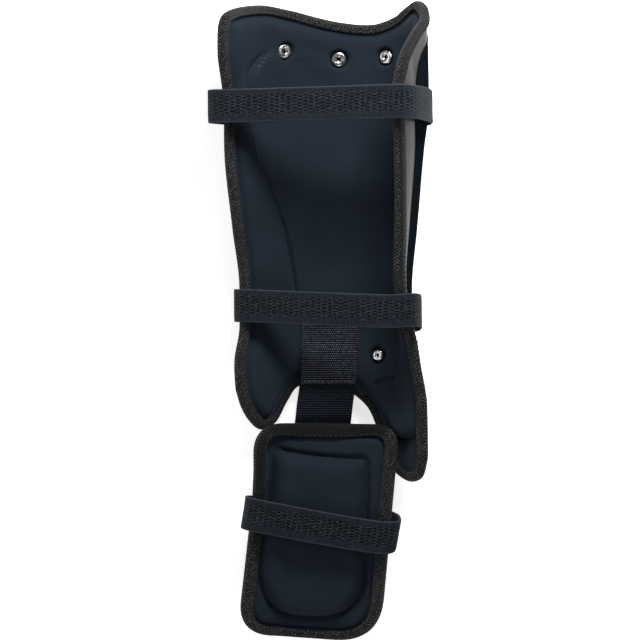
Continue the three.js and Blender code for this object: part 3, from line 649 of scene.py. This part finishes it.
class Look:
    """A material with short calls that add its nodes."""

    def __init__(self, name, **surface):
        self.material = bpy.data.materials.new(name)
        self.material.use_nodes = True
        self.tree = self.material.node_tree
        self.surface = self.tree.nodes["Principled BSDF"]
        self.set(**surface)

    def feed(self, socket, value):
        if isinstance(value, bpy.types.NodeSocket):
            self.tree.links.new(value, socket)
        else:
            socket.default_value = value

    def set(self, **surface):
        """Sets or links inputs of the surface."""
        for key, value in surface.items():
            self.feed(self.surface.inputs[key.replace("_", " ").title().replace("Ior", "IOR")], value)
        return self.material

    def add(self, kind, inputs, output=0, **settings):
        node = self.tree.nodes.new(kind)
        for key, value in settings.items():
            setattr(node, key, value)
        for key, value in inputs.items():
            self.feed(node.inputs[key], value)
        return node.outputs[output]

    def math(self, operation, *values):
        return self.add("ShaderNodeMath", dict(enumerate(values)), operation=operation)

    def cloth(self):
        """Millimetres along and across the cloth, and how worn it is, lowered where shade is painted."""
        vector = self.add("ShaderNodeAttribute", {}, "Vector", attribute_name="cloth")
        return tuple(self.add("ShaderNodeSeparateXYZ", {0: vector}).node.outputs)

    def noise(self, scale, detail=2.0, roughness=0.5):
        place = self.add("ShaderNodeTexCoord", {}, "Object")
        inputs = {"Vector": place, "Scale": scale, "Detail": detail, "Roughness": roughness}
        return self.add("ShaderNodeTexNoise", inputs, "Fac")

    def wave(self, value, period):
        """A smooth wave from 0 to 1."""
        turned = self.math("SINE", self.math("MULTIPLY", value, 2 * math.pi / period))
        return self.math("MULTIPLY_ADD", turned, 0.5, 0.5)

    def oval(self, x, half_width, y, half_height):
        """Distance from the middle of an oval, squared, with 1 on its edge."""
        squares = []
        for value, half in ((x, half_width), (y, half_height)):
            ratio = self.math("DIVIDE", value, half)
            squares.append(self.math("MULTIPLY", ratio, ratio))
        return self.math("ADD", *squares)

    def staggered(self, run, run_pitch, rise, rise_pitch):
        """Place in a cell from -0.5 to 0.5 both ways, where every second column is half a cell higher."""
        column = self.math("DIVIDE", run, run_pitch)
        odd = self.math("FLOORED_MODULO", self.math("FLOOR", column), 2.0)
        row = self.math("MULTIPLY_ADD", odd, 0.5, self.math("DIVIDE", rise, rise_pitch))
        return tuple(self.math("SUBTRACT", self.math("FRACT", value), 0.5) for value in (column, row))

    def between(self, low, high, value):
        inputs = {"Value": value, "From Min": low, "From Max": high}
        return self.add("ShaderNodeMapRange", inputs, interpolation_type="SMOOTHSTEP")

    def mix(self, share, first, second):
        first, second = ((*c, 1) if isinstance(c, tuple) else c for c in (first, second))
        return self.add("ShaderNodeMix", {0: share, 6: first, 7: second}, 2, data_type="RGBA")

    def bump(self, height, depth_mm, strength=1.0):
        inputs = {"Height": height, "Strength": strength, "Distance": depth_mm * MM}
        return self.set(normal=self.add("ShaderNodeBump", inputs))


def liner_look():
    sheen = {"sheen_weight": 0.05, "sheen_roughness": 0.4, "sheen_tint": (0.6, 0.7, 0.8, 1)}
    look = Look("brushed_knit", roughness=0.95, specular_ior_level=0.1, **sheen)
    broad = look.between(0.35, 0.65, look.noise(45.0, 3.0))
    fibre = look.noise(2600.0, 3.0, 0.65)
    colour = look.mix(broad, (0.0080, 0.0124, 0.0186), (0.0099, 0.0151, 0.0224))
    look.set(base_color=look.mix(look.between(0.3, 0.8, fibre), colour, (0.0143, 0.0213, 0.0310)))
    return look.bump(fibre, 0.12, 0.6)


def woven_look(name, roughness, specular, sheen):
    settings = {"roughness": roughness, "specular_ior_level": specular, "sheen_weight": sheen}
    return Look(name, sheen_roughness=0.5, **settings)


def tape_look():
    look = woven_look("herringbone_tape", 0.8, 0.15, 0.03)
    along, across, wear_and_shade = look.cloth()
    zigzag = look.math("PINGPONG", look.math("ADD", across, 10 * HERRINGBONE + 0.4), HERRINGBONE)
    thread = look.wave(look.math("ADD", along, zigzag), THREAD_PITCH)
    fleck = look.between(0.4, 0.72, look.noise(1100.0, 2.0))
    # Pale worn flecks on the thread crests; where the wear value is lowered for painted shade they are left
    # out and the tape is darker
    worn_and_shaded = look.math("MULTIPLY", look.math("MULTIPLY", look.math("POWER", thread, 2.0), fleck), wear_and_shade)
    colour = look.mix(thread, (0.0010, 0.0012, 0.0014), (0.0085, 0.0092, 0.0100))
    look.set(base_color=look.mix(worn_and_shaded, colour, (0.120, 0.119, 0.123)))
    return look.bump(thread, 0.5, 1.0)


def elastic_look():
    look = woven_look("dashed_elastic", 0.85, 0.12, 0.04)
    along, across, _ = look.cloth()
    weave = look.math("MULTIPLY", look.wave(along, 0.85), look.wave(across, 0.7))
    drift = look.math("SUBTRACT", look.noise(230.0, 2.0), 0.5)
    shifted = look.math("MULTIPLY_ADD", drift, 2.2, along)
    raised = look.math("SUBTRACT", look.math("MULTIPLY_ADD", drift, -1.4, across), DASH_MIDDLE)
    column_at, row_at = look.staggered(shifted, DASH_PITCH, raised, DASH_RISE)
    lens = look.oval(column_at, 0.45, row_at, 0.31)
    aside = look.math("ABSOLUTE", look.math("SUBTRACT", across, DASH_MIDDLE))
    middle = look.between(DASH_BAND, DASH_BAND - 0.5, aside)
    dash = look.math("MULTIPLY", look.between(1.25, 0.7, lens), middle)
    around = look.math("MULTIPLY", look.between(1.0, 1.5, lens), look.between(2.8, 2.0, lens))
    fleck = look.between(0.4, 0.7, look.noise(700.0, 3.0))
    arc = look.math("MULTIPLY", look.math("MULTIPLY", around, middle), fleck)
    # Painted highlight: a paler line near both edges, where the rounded edges catch the light
    from_edge = look.math("ABSOLUTE", look.math("SUBTRACT", look.math("ABSOLUTE", across), 11.0))
    edge_highlight = look.between(0.55, 0.25, from_edge)
    colour = look.mix(weave, (0.0041, 0.0063, 0.0100), (0.0124, 0.0175, 0.0255))
    colour = look.mix(look.math("MULTIPLY", fleck, 0.4), colour, (0.025, 0.033, 0.046))
    colour = look.mix(look.math("MULTIPLY", arc, 0.65), colour, (0.053, 0.066, 0.086))
    colour = look.mix(look.math("MULTIPLY", edge_highlight, 0.5), colour, (0.048, 0.058, 0.073))
    look.set(base_color=look.mix(dash, colour, (0.0006, 0.0009, 0.0020)))
    height = look.math("SUBTRACT", look.math("MULTIPLY", weave, 0.35), dash)
    return look.bump(height, 0.5, 1.0)


def webbing_look(name, thread, glint):
    look = woven_look(name, 0.75, 0.05, 0.02)
    along, across, _ = look.cloth()
    row_at, column_at = look.staggered(along, WEBBING_PITCH, across, 0.9 * WEBBING_PITCH)
    dot = look.between(1.3, 0.3, look.oval(column_at, 0.36, row_at, 0.24))
    fleck = look.between(0.3, 0.6, look.noise(1300.0, 2.0))
    colour = look.mix(dot, (0.0030, 0.0037, 0.0055), thread)
    look.set(base_color=look.mix(look.math("MULTIPLY", dot, fleck), colour, glint))
    return look.bump(dot, 0.5, 1.0)


def plastic_look(name, specular, roughness, scuffed, colours, grain, strength):
    """Moulded plastic with scuffs and a grain."""
    look = Look(name, specular_ior_level=specular)
    scuff = look.noise(160.0, 4.0, 0.7)
    look.set(roughness=look.math("MULTIPLY_ADD", scuff, scuffed, roughness))
    look.set(base_color=look.mix(scuff, *colours))
    return look.bump(look.noise(grain, 2.0), 0.1, strength)


def nickel_look():
    look = Look("nickel", base_color=(0.60, 0.59, 0.58, 1), metallic=1.0, roughness=0.25)
    scratch = look.noise(700.0, 4.0, 0.7)
    look.set(roughness=look.math("MULTIPLY_ADD", scratch, 0.25, 0.15))
    return look.bump(scratch, 0.06, 0.4)


def thread_look(name, dark, light):
    look = Look(name, roughness=0.6, sheen_weight=0.1)
    look.set(base_color=look.mix(look.noise(1800.0, 2.0), dark, light))
    return look.bump(look.noise(3000.0, 1.0), 0.08, 0.5)


LINER = liner_look()
TAPE = tape_look()
ELASTIC = elastic_look()
WEBBING = webbing_look("ribbed_webbing", (0.024, 0.028, 0.043), (0.155, 0.170, 0.220))
WEBBING_BACK = webbing_look("webbing_back", (0.0110, 0.0150, 0.0270), (0.048, 0.060, 0.092))
SHELL_COLOURS = ((0.015, 0.0130, 0.0115), (0.022, 0.0192, 0.0168))
SHELL = plastic_look("gloss_shell", 0.10, 0.3, 0.12, SHELL_COLOURS, 60.0, 0.3)
PANEL_COLOURS = ((0.0040, 0.0060, 0.0085), (0.0060, 0.0084, 0.0112))
PANEL = plastic_look("satin_panel", 0.0, 0.6, 0.2, PANEL_COLOURS, 1500.0, 0.4)
NICKEL = nickel_look()
THREAD = thread_look("black_thread", (0.0015, 0.0016, 0.0018), (0.005, 0.0053, 0.0056))
PALE_THREAD = thread_look("grey_thread", (0.04, 0.04, 0.04), (0.13, 0.127, 0.124))


# Shin guard

def crease_offset(point):
    """How far right of the crease each point lies, seen from above."""
    x = from_table(CREASE, point[..., 1])[..., 1]
    lean = from_table(CREASE, point[..., 1] + 1)[..., 1] - x
    return (point[..., 0] - x) / np.sqrt(1 + lean**2)


def segment_distance(point, start, end):
    """Distance in plan to a straight line between two points."""
    start, way = np.array(start, float), np.array(end, float) - np.array(start, float)
    rel = point[..., :2] - start
    t = np.clip(rel @ way / (way @ way), 0, 1)
    return np.linalg.norm(rel - t[..., None] * way, axis=-1)


def crease_shows(y):
    return ease(-6, 14, y) * ease(191, 180, y)


def rivet_distance(point):
    """Distance from the nearest rivet."""
    seats = [form_point(across_under(x, y), y)[0] for _, x, y, _ in RIVETS]
    return np.min([np.linalg.norm(point - seat, axis=-1) for seat in seats], axis=0)


def crease_step(off, y):
    """The step at the crease: the left wing lies over the hollow, and under it near the knee."""
    left_over = 1 - 2 * ease(138, 168, y)
    hollow = -CREASE_STEP + 1.4 * ease(2, 26, off)
    return left_over * np.where(off < 0, CREASE_STEP, hollow) * ease(0, 1.2, np.abs(off))


def tongue_inside(seen):
    """How far inside the tail's raised pad each place is, and how much it belongs to the tail."""
    inside = TONGUE_HALF - segment_distance(seen, TONGUE_TOP, TONGUE_END)
    return inside, ease(-62, -75, seen[..., 1]) * ease(38, 53, seen[..., 0])


def liner_face(seen, edge):
    """The padded face before its seams: pressed under the tape, full inside, one panel over the other."""
    x, y = seen[..., 0], seen[..., 1]
    slope = 1 - 2 * ease(-42, -18, x)
    step = slope + (crease_step(crease_offset(seen), y) - slope) * ease(8, 30, y)
    inside, tail = tongue_inside(seen)
    pad = TONGUE_RISE * puff(inside / TONGUE_HALF) - TONGUE_EDGE * (1 - puff(inside / 4))
    full = (LINER_FULL + LINER_HOLLOW) / 2 + step + tail * pad
    rise = puff((edge - TAPE_LIP - 0.9) / LINER_SHOULDER)
    return LINER_EDGE + (full - LINER_EDGE) * rise


def liner_seams(seen, edge, away, height):
    """Adds what holds the padding down: the crease, the seam of the tail's pad, the slit and the rivets."""
    inside, tail = tongue_inside(seen)
    pressed = crease_shows(seen[..., 1]) * groove(crease_offset(seen), CREASE_GROOVE)
    pressed = pressed + tail * groove(inside, SEAM_GROOVE)
    pressed = pressed + groove(segment_distance(seen, *SLIT), SLIT_GROOVE)
    height = height - pressed * puff((edge - TAPE_LIP) / 6)
    sunk = MOAT_FLOOR + (height - MOAT_FLOOR) * puff((away - MOAT_RADIUS) / MOAT_WIDTH)
    return np.where(away < MOAT_RADIUS + MOAT_WIDTH, sunk, height)


def build_liner():
    point, normal, _ = form_frame(*panel_grid(2 * LINER_GRID[0], 2 * LINER_GRID[1]))
    seen = point + normal * LINER_FULL
    edge = distance_to(point, outline_frames(1600)[0])
    away = rivet_distance(point)
    face = liner_face(seen, edge)
    held = (edge < TAPE_LIP + 1.5) | (away < MOAT_RADIUS + 2)
    held = held | ((np.abs(crease_offset(seen)) < 1.6) & (crease_shows(seen[..., 1]) > 0.3))
    held = held | (np.abs(point[..., :2] - PATCH_MIDDLE) < PATCH_HOLD).all(-1)
    start = point + normal * face[..., None]
    face = face + finer(swell(start[::2, ::2], normal[::2, ::2], held[::2, ::2]))
    upper = liner_seams(seen, edge, away, face)
    layer = layer_mesh(point, normal, np.full_like(upper, GAP / 2), upper)
    piece = add_piece("liner", *layer, None, LINER, "shin_liner", "liner")


def sew_crease():
    """Pale stitches beside the upper end of the crease."""
    line, ups = [], []
    for y in np.linspace(*CREASE_SEWN, 24):
        point, normal = form_seen(from_table(CREASE, y)[1] + CREASE_ASIDE, y, LINER_FULL)
        line.append(point + normal * (LINER_FULL - 0.3))
        ups.append(normal)
    sew("crease_stitching", [(np.array(line), np.array(ups))], CREASE_STITCH, PALE_THREAD, "liner")


def build_shell():
    across, y = panel_grid(*SHELL_GRID)
    point, normal, _ = form_frame(across, y)
    from_side = (1 - np.abs(across)) * form_point(across, y)[2]
    rim = np.clip(from_side / from_table(PANEL_SIDE, y)[..., 1], 0, 1)
    outside = SHELL_RIM + RIM_BULGE * np.sin(math.pi * rim)
    layer = layer_mesh(point, normal, -outside, np.full_like(y, -GAP / 2))
    add_piece("shell", *layer, None, SHELL, "shin_shell", "shell")


def build_shell_panel():
    across, y = panel_grid(*SHELL_GRID)
    middle, half = (y.max() + y.min()) / 2, (y.max() - y.min()) / 2
    y = middle + (y - middle) * (1 - PANEL_END / half)
    across = across * (1 - from_table(PANEL_SIDE, y)[..., 1] / form_point(across, y)[2])
    point, normal, _ = form_frame(across, y)
    layer = layer_mesh(point, normal, np.full_like(y, -SHELL_OUTSIDE), np.full_like(y, -SHELL_RIM))
    add_piece("shell_panel", *layer, None, PANEL, slot="shell")


def tape_section(low, high):
    """The folded tape as (past the edge, above): down the inner lip, round the fold, and back under."""
    top = high + TAPE_CLEAR + TAPE_WALL
    bottom = low - TAPE_CLEAR - TAPE_WALL
    middle = (top + bottom) / 2
    half = (top - bottom) / 2
    turn = np.linspace(math.pi / 2, -math.pi / 2, 15)
    past = (TAPE_FOLD + TAPE_FLAT) * np.maximum(np.cos(turn), 0) ** 0.7 - TAPE_FLAT
    nose = np.stack([past, middle + half * np.sin(turn)], 1)
    lip_in = np.linspace(-TAPE_LIP, -TAPE_FLAT, 5)[:-1]
    crown = np.array([-0.45, 0.1, 0.2, 0.12])
    upper = np.stack([lip_in, top + crown], 1)
    under = np.stack([lip_in, bottom - crown], 1)[::-1]
    slot = [
        (-TAPE_LIP, low - TAPE_CLEAR), (TAPE_CLEAR, low - TAPE_CLEAR),
        (TAPE_CLEAR, high + TAPE_CLEAR), (-TAPE_LIP, high + TAPE_CLEAR),
    ]
    return np.vstack([upper, nose, under, slot])


def lay_tape(name, node, frames, section, lips, wear_and_shade, half_shade, side):
    """Sweeps a tape round a closed edge. lips says how much further in than usual each step reaches.

    The argument after the wear gives painted shade at each step: fewer pale flecks on the back (side 1) or
    the front (side -1), where that half faces away from the light.
    """
    point, normal, out = frames
    past = section[:, 0]
    reach = 1 + lips[:, None] / (TAPE_LIP - TAPE_FLAT)
    past = np.where(past < -TAPE_FLAT, -TAPE_FLAT + (past + TAPE_FLAT) * reach, past)
    skin = point[:, None] + out[:, None] * past[..., None] + normal[:, None] * section[:, 1:]
    along = run_length(looped(point))
    along *= round(along[-1] / THREAD_PITCH) * THREAD_PITCH / along[-1]
    across = run_length(looped(section))
    across -= across[np.argmax(section[:, 0])]
    # Painted shade: the pale flecks are taken off the half of the tape that faces away from the light
    painted_half_shade = half_shade[:, None] * ease(0.5, 2.5, side * across[:-1])
    worn_and_shaded = sweep(skin, along, across, True, wear_and_shade[:, None] * (1 - painted_half_shade))
    piece = add_piece(name, *worn_and_shaded, TAPE, node, "tape")
    sew_tape(name + "_stitching", frames, section, lips)


def sew_tape(name, frames, section, lips):
    """A line of threads along both faces of a tape."""
    point, normal, out = frames
    line = point - out * (TAPE_SEAM + lips[:, None])
    runs = []
    for above, face_way in ((section[:, 1].max() - 0.05, normal), (section[:, 1].min() + 0.05, -normal)):
        runs.append((looped(line + normal * above), looped(face_way)))
    sew(name, runs, TAPE_STITCH, THREAD, "tape")


def build_shin_tape():
    frames = outline_frames(1000)
    x, y, _ = frames[0].T
    left = ease(-42, -50, x) * ease(200, 175, y) * ease(-50, -30, y)
    arch = ease(-36, -44, y) * ease(-36, -28, x) * ease(50, 42, x)
    lips = -LIP_KNEE * ease(170, 200, y) - LIP_TAIL * ease(-35, -55, y) - LIP_LEFT * left - LIP_ARCH * arch
    section = tape_section(-SHELL_RIM, LINER_EDGE)
    right = ease(42, 50, x) * ease(-20, 0, y)
    # Painted shade: the arch's tape and the back of the right wing's tape, facing away from the light, lose
    # their pale flecks; near the knee the right wing's tape also has fewer of them
    wear_and_shade = 1 - arch - FEWER_FLECKS_KNEE * right * ease(140, 190, y)
    lay_tape("shin_tape", "shin_binding", frames, section, lips, wear_and_shade, PAINTED_SHADE_BACK * right, 1)


def build_rivets():
    head = -SHELL_OUTSIDE - GAP
    turn = np.linspace(-0.35, math.pi + 0.2, 16)
    rolled = [(2.95 + 1.85 * math.cos(a), RIVET_SEAT + 0.5 + 1.0 * math.sin(a)) for a in turn]
    dome = [(0, head - 1.4), (2.5, head - 1.35), (4.2, head - 1.0), (4.8, head - 0.5), (5.0, head)]
    bore = [(1.0, RIVET_SEAT - 1.0), (0.95, RIVET_SEAT - 3.0), (0, RIVET_SEAT - 5.5)]
    rows = dome + [(2.1, head), (2.1, RIVET_SEAT)] + rolled + bore
    for name, x, y, size in RIVETS:
        points, faces = lathe(rows, 64)
        angle = np.arctan2(points[:, 1], points[:, 0])
        reach = np.hypot(points[:, 0], points[:, 1])
        crest = ease(1.5, 2.4, reach) * ease(4.8, 3.6, reach) * (points[:, 2] > RIVET_SEAT + 0.4)
        points[:, 2] -= 0.22 * crest * ease(0.1, 0.9, np.cos(2 * angle + 1.7 * reach + x))
        points[:, :2] *= size
        seat, normal, _ = form_frame(across_under(x, y), y)
        turned = Vector((0, 0, 1)).rotation_difference(Vector(normal)).to_matrix()
        add_piece(name + "_metal", points @ np.array(turned).T + seat, faces, None, NICKEL, name, "nickel")


def beside_edge(side, y, stops):
    point, normal, out = form_frame(float(side), y)
    return [point + out * past + normal * towards for past, towards in stops]


def on_shell(side, y, distances):
    total = form_point(float(side), y)[2]
    frames = (form_frame(side * (1 - distance / total), y) for distance in distances)
    return [point - normal * STRAP_REST for point, normal, _ in frames]


def lay_strap(name, node, stops, sideways, seed):
    """An elastic strap along stops, a little uneven, drawn in at its right fold, sewn down at both ends."""
    path = even_steps(centripetal_spline(stops, 24), 260)
    along = run_length(path)
    section = rounded_strip(STRAP_WIDTH, STRAP_WALL, 25)
    way = unit(np.gradient(path, axis=0))
    up = unit(np.cross(way, sideways))
    edge = section[:, 0] / (STRAP_WIDTH / 2)
    turn = along[np.argmax(path[:, 0])]
    drawn = 1 - groove(along - turn, STRAP_DRAWN)
    wide = section[None, :, 0] * drawn[:, None]
    ripple = 0.22 * np.sin(along[:, None] / 9.0 + seed) * np.maximum(edge, 0) ** 2
    ripple = ripple + 0.3 * np.sin(along[:, None] / 7.0 + 2 * seed) * np.maximum(-edge, 0) ** 3
    thick = section[None, :, 1] + ripple
    skin = path[:, None] + sideways * wide[..., None] + up[:, None] * thick[..., None]
    piece = add_piece(name, *strip_sweep(skin, along, section), ELASTIC, node, "elastic")
    sew_ends(name + "_stitching", path, up, sideways)


def sew_ends(name, path, up, sideways):
    """A box of stitches at each end of a strap, on the face away from the guard."""
    corners = even_steps(np.array(STRAP_BOX), 60)
    runs = []
    for order in (slice(None), slice(None, None, -1)):
        run = run_length(path[order])
        normal = unit(at_run(run, up[order], corners[:, 0]))
        line = at_run(run, path[order], corners[:, 0]) + sideways * corners[:, 1:2]
        runs.append((line + normal * (STRAP_WALL / 2 + 0.1), normal))
    sew(name, runs, STRAP_STITCH, THREAD, "elastic")


def build_shin_straps():
    for seed, strap in enumerate(SHIN_STRAPS):
        left_y, right_y = strap["left_y"], strap["right_y"]
        stops = on_shell(-1, left_y, strap["left_tails"]) + beside_edge(-1, left_y, strap["left_turn"])
        drift = np.linspace(right_y, strap["tail_y"], len(strap["right_turn"]))
        for y, stop in zip(drift, strap["right_turn"]):
            stops += beside_edge(1, y, (stop,))
        stops += on_shell(1, strap["tail_y"], strap["right_tails"])
        lay_strap(strap["name"] + "_elastic", strap["name"], stops, np.array([0.0, 1.0, 0.0]), 1.3 + seed)


# Webbing

def rib(y):
    """How thick the ribbed webbing is along its length, about 1."""
    return 1 + 0.12 * np.cos(2 * math.pi * y / WEBBING_PITCH)


def build_patch():
    section = rounded_strip(PATCH_WIDTH, WEBBING_WALL, 41)
    share = section[:, 0] / PATCH_WIDTH + 0.5
    skin = []
    for y in np.linspace(PATCH_ROWS[0][0], PATCH_ROWS[-1][0], WEBBING_STEPS):
        _, x, clear = from_table(PATCH_ROWS, y)
        left, right = (across_under(x + side * PATCH_WIDTH / 2, y) for side in (-1, 1))
        point, normal, _ = form_frame(left + (right - left) * share, np.full(len(share), y))
        height = PATCH_SEAT + clear + WEBBING_WALL / 2 + section[:, 1] * rib(y)
        skin.append(point + normal * height[:, None])
    along = np.linspace(0, PATCH_ROWS[-1][0] - PATCH_ROWS[0][0], WEBBING_STEPS)
    strip = strip_sweep(np.array(skin), along, section)
    patch = add_piece("webbing_top", *strip, WEBBING, "webbing_patch", "webbing")


def build_link():
    section = rounded_strip(WEBBING_WIDTH, WEBBING_WALL, 41)
    y = np.linspace(LINK_ROWS[0][0], LINK_ROWS[-1][0], WEBBING_STEPS)
    _, x, z = from_table(LINK_ROWS, y).T
    path = np.stack([x, y, z], 1)
    aside = np.array([1.0, 0.0, 0.0])
    up = unit(np.cross(aside, unit(np.gradient(path, axis=0))))
    height = section[:, 1] * rib(y)[:, None]
    skin = path[:, None] + aside * section[:, :1] + up[:, None] * height[..., None]
    along = run_length(path)
    strip = strip_sweep(skin, along, section)
    link = add_piece("webbing_under", *strip, WEBBING_BACK, "webbing_link", "webbing")


def sew_webbing():
    """A line of stitches along the patch's lower edge."""
    y = PATCH_ROWS[0][0] + PATCH_SEAM
    _, x, clear = from_table(PATCH_ROWS, y)
    half = PATCH_WIDTH / 2 - 2.5
    spots, ups = [], []
    for aside in np.linspace(-half, half, 60):
        point, normal, _ = form_frame(across_under(x + aside, y), y)
        spots.append(point + normal * (PATCH_SEAT + clear + WEBBING_WALL + 0.05))
        ups.append(normal)
    sew("webbing_stitching", [(np.array(spots), np.array(ups))], WEBBING_STITCH, PALE_THREAD, "webbing")


# Foot guard

def ring_grid(loop, rings):
    """Loops that shrink from an outline to its middle."""
    middle = loop.mean(0)
    return middle + (loop[None] - middle) * np.asarray(rings)[:, None, None]


def domed(loops, heights, low):
    """A closed pad from loops in plan with heights above the foot's underside, on a flat back."""
    rings, count = loops.shape[:2]
    point, normal = foot_frame(loops)
    top = point + normal * heights[..., None]
    skin = np.vstack([top[::-1], point + normal * low])
    faces = [list(f) for f in quads(2 * rings, count, False, True)[0]]
    faces.append(list(range(count))[::-1])
    faces.append(list(range((2 * rings - 1) * count, 2 * rings * count)))
    return skin.reshape(-1, 3), faces


def plan_distance(xy, loop):
    """Distance in plan from points to a closed line."""
    return distance_to(np.insert(xy, 2, 0.0, -1), np.insert(loop, 2, 0.0, -1))


def soft_edge(xy, loop, blur):
    """Distance in plan from a closed line, with the ridges that run in from its corners evened out."""
    gap = np.linalg.norm(xy[..., None, :] - loop, axis=-1)
    step = np.linalg.norm(loop - np.roll(loop, 1, 0), axis=1)
    near = (np.exp(-gap / blur) * step).sum(-1) / (2 * blur)
    return blur * np.maximum(-np.log(near), 0)


def inside_loop(xy, loop):
    """Which points in plan lie inside a closed line."""
    (x1, y1), (x2, y2) = loop.T, np.roll(loop, -1, 0).T
    x, y = xy[..., :1], xy[..., 1:]
    at = x1 + (y - y1) * (x2 - x1) / np.where(y2 == y1, 1, y2 - y1)
    crossed = ((y1 > y) != (y2 > y)) & (x < at)
    return crossed.sum(-1) % 2 == 1


def build_foot_panel():
    loops = ring_grid(rounded_loop(FOOT_OUTLINE, FOOT_STEPS), 1 - np.linspace(0, 0.98, 84) ** 0.9)
    x, y = np.moveaxis(loops, -1, 0)
    point, normal = foot_frame(loops)
    edge = plan_distance(loops, rounded_loop(FOOT_OUTLINE, FOOT_FINE))
    to_pad = plan_distance(loops, rounded_loop(PAD_OUTLINE, FOOT_FINE))
    under_pad = inside_loop(loops, rounded_loop(PAD_OUTLINE, FOOT_STEPS))
    toe, top = ease(-170, -195, y), ease(-96, -86, y)
    left = ease(-22, -34, x) * ease(-165, -135, y)
    rolled = ease(5, 30, x) * (1 - toe) + 0.3 * toe
    face = FOOT_EDGE + (FOOT_FULL - FOOT_EDGE) * rolled * puff((edge - TAPE_LIP - 0.8) / 5.0)
    held = (edge < TAPE_LIP + 1.2) | under_pad | (to_pad < 1.5)
    face = face + swell(point + normal * face[..., None], normal, held, True)
    face = face - (groove(to_pad, PAD_GROOVE) + FOOT_VALLEY * left) * ease(TAPE_LIP, TAPE_LIP + 3, edge)
    face = face - toe * groove(edge - TAPE_LIP, TOE_GROOVE) - top * groove(edge - TAPE_LIP, TOP_GROOVE)
    face = np.clip(face, 0.8, np.where(under_pad, FOOT_FULL, PAD_TOP))
    base = add_piece("foot_panel", *domed(loops, face, 0.0), None, LINER, "foot_base", "liner")


def build_foot_cushion():
    pad_line = rounded_loop(PAD_OUTLINE, FOOT_STEPS)
    rings = 1 - np.linspace(0, 0.99, 70) ** 1.3
    loops = ring_grid(pad_line, rings)
    point, normal = foot_frame(loops)
    edge = soft_edge(loops, pad_line, PAD_BLUR)
    middle, half = (pad_line.max(0) + pad_line.min(0)) / 2, (pad_line.max(0) - pad_line.min(0)) / 2
    crown = PAD_CROWN * np.prod(1 - ((loops - middle) / half) ** 2, axis=-1)
    face = PAD_SEAT + (PAD_TOP - PAD_SEAT) * puff(edge / PAD_SHOULDER) + crown
    push = swell(point + normal * face[..., None], normal, edge < 0.5, True, PAD_CALM)
    even = push.mean(1, keepdims=True)
    face = face + even + (push - even) * ease(0.4, 0.95, rings)[:, None]
    pad = add_piece("foot_cushion", *domed(loops, face, PAD_SEAT), None, LINER, "foot_pad", "liner")


def build_foot_tape():
    outline = rounded_loop(FOOT_OUTLINE, 640)
    frames = edge_frames(*foot_frame(outline))
    section = tape_section(0.0, FOOT_EDGE)
    x, y = outline.T
    top = ease(-80, -75, y)
    lips = LIP_TOP * top * ease(42, 12, np.abs(x - 2)) - LIP_TOE * ease(-195, -210, y)
    left = ease(-36, -42, x) * ease(-150, -125, y)
    # The tape has no pale flecks along the top; on the left side its inner lip gets painted shade, with
    # fewer pale flecks
    lay_tape("foot_tape", "foot_binding", frames, section, lips, 1 - top, PAINTED_SHADE_FRONT * left, -1)


def build_foot_strap():
    left, right = np.array(FOOT_STRAP["left"]), np.array(FOOT_STRAP["right"])
    across = np.append(unit(right - left), 0.0)
    stops = []
    turns = ((left, -1, "left_turn", 0.0), (right, 1, "right_turn", FOOT_STRAP["tail_shift"]))
    for end, way, turn, shift in turns:
        drift = np.linspace(0, shift, len(FOOT_STRAP[turn]))
        normal = foot_frame(end)[1]
        out = unit(across * way - normal * ((across * way) @ normal))
        for (past, above), rise in zip(FOOT_STRAP[turn], drift):
            inside = past < -TAPE_LIP
            spot = end + (0, rise) + (way * past * across[:2] if inside else 0)
            point, up = foot_frame(spot)
            stops.append(point + up * above + (0 if inside else out * past))
    sideways = np.array([-across[1], across[0], 0.0])
    lay_strap("foot_strap_elastic", "foot_strap", stops, sideways, 4.1)


# Stage

# The picture's scale holds at a height above the floor
PICTURE_WIDTH = 448.0
SCALE_HEIGHT = 20.0
CAMERA_HEIGHT = 1800.0
SENSOR_WIDTH = 36.0
# Lights: name, place in metres, size, power
LIGHTS = (
    ("knee", (0.12, 0.52, 0.47), 0.2, 6.2),
    ("toe", (0.0, -0.65, 0.55), 0.4, 1.5),
    ("right", (1.5, 0.0, 1.1), 1.0, 5.5),
    ("left", (-1.5, 0.1, 0.8), 1.0, 8.5),
)


def build_stage():
    bpy.ops.mesh.primitive_plane_add(size=8, location=(0, 0, -0.0003))
    floor = bpy.context.object
    floor.name = "floor"
    glow = {"emission_color": (1, 1, 1, 1), "emission_strength": 0.7}
    look = Look("pale_floor", roughness=0.9, specular_ior_level=0.1, **glow)
    look.set(base_color=look.mix(look.noise(3.0), (0.86, 0.86, 0.86), (0.9, 0.9, 0.9)))
    floor.data.materials.append(look.material)

    world = bpy.data.worlds.new("studio")
    world.use_nodes = True
    background = world.node_tree.nodes["Background"].inputs
    background["Color"].default_value = (1, 1, 1, 1)
    background["Strength"].default_value = 0.13
    bpy.context.scene.world = world

    for name, place, size, power in LIGHTS:
        data = bpy.data.lights.new(name, "AREA")
        data.size = size
        data.energy = power
        light = bpy.data.objects.new(name, data)
        light.location = place
        light.rotation_euler = (-Vector(place)).to_track_quat("-Z", "Y").to_euler()
        bpy.context.scene.collection.objects.link(light)

    data = bpy.data.cameras.new("camera")
    data.sensor_width = SENSOR_WIDTH
    data.lens = SENSOR_WIDTH * (CAMERA_HEIGHT - SCALE_HEIGHT) / PICTURE_WIDTH
    camera = bpy.data.objects.new("camera", data)
    camera.location = (np.array([0.0, 0.0, CAMERA_HEIGHT]) + TO_FRAME) * MM
    bpy.context.scene.collection.objects.link(camera)
    bpy.context.scene.camera = camera
    bpy.context.scene.view_settings.view_transform = "Standard"


build_liner()
sew_crease()
build_shell()
build_shell_panel()
build_shin_tape()
build_rivets()
build_shin_straps()
build_patch()
build_link()
sew_webbing()
build_foot_panel()
build_foot_cushion()
build_foot_tape()
build_foot_strap()
build_stage()
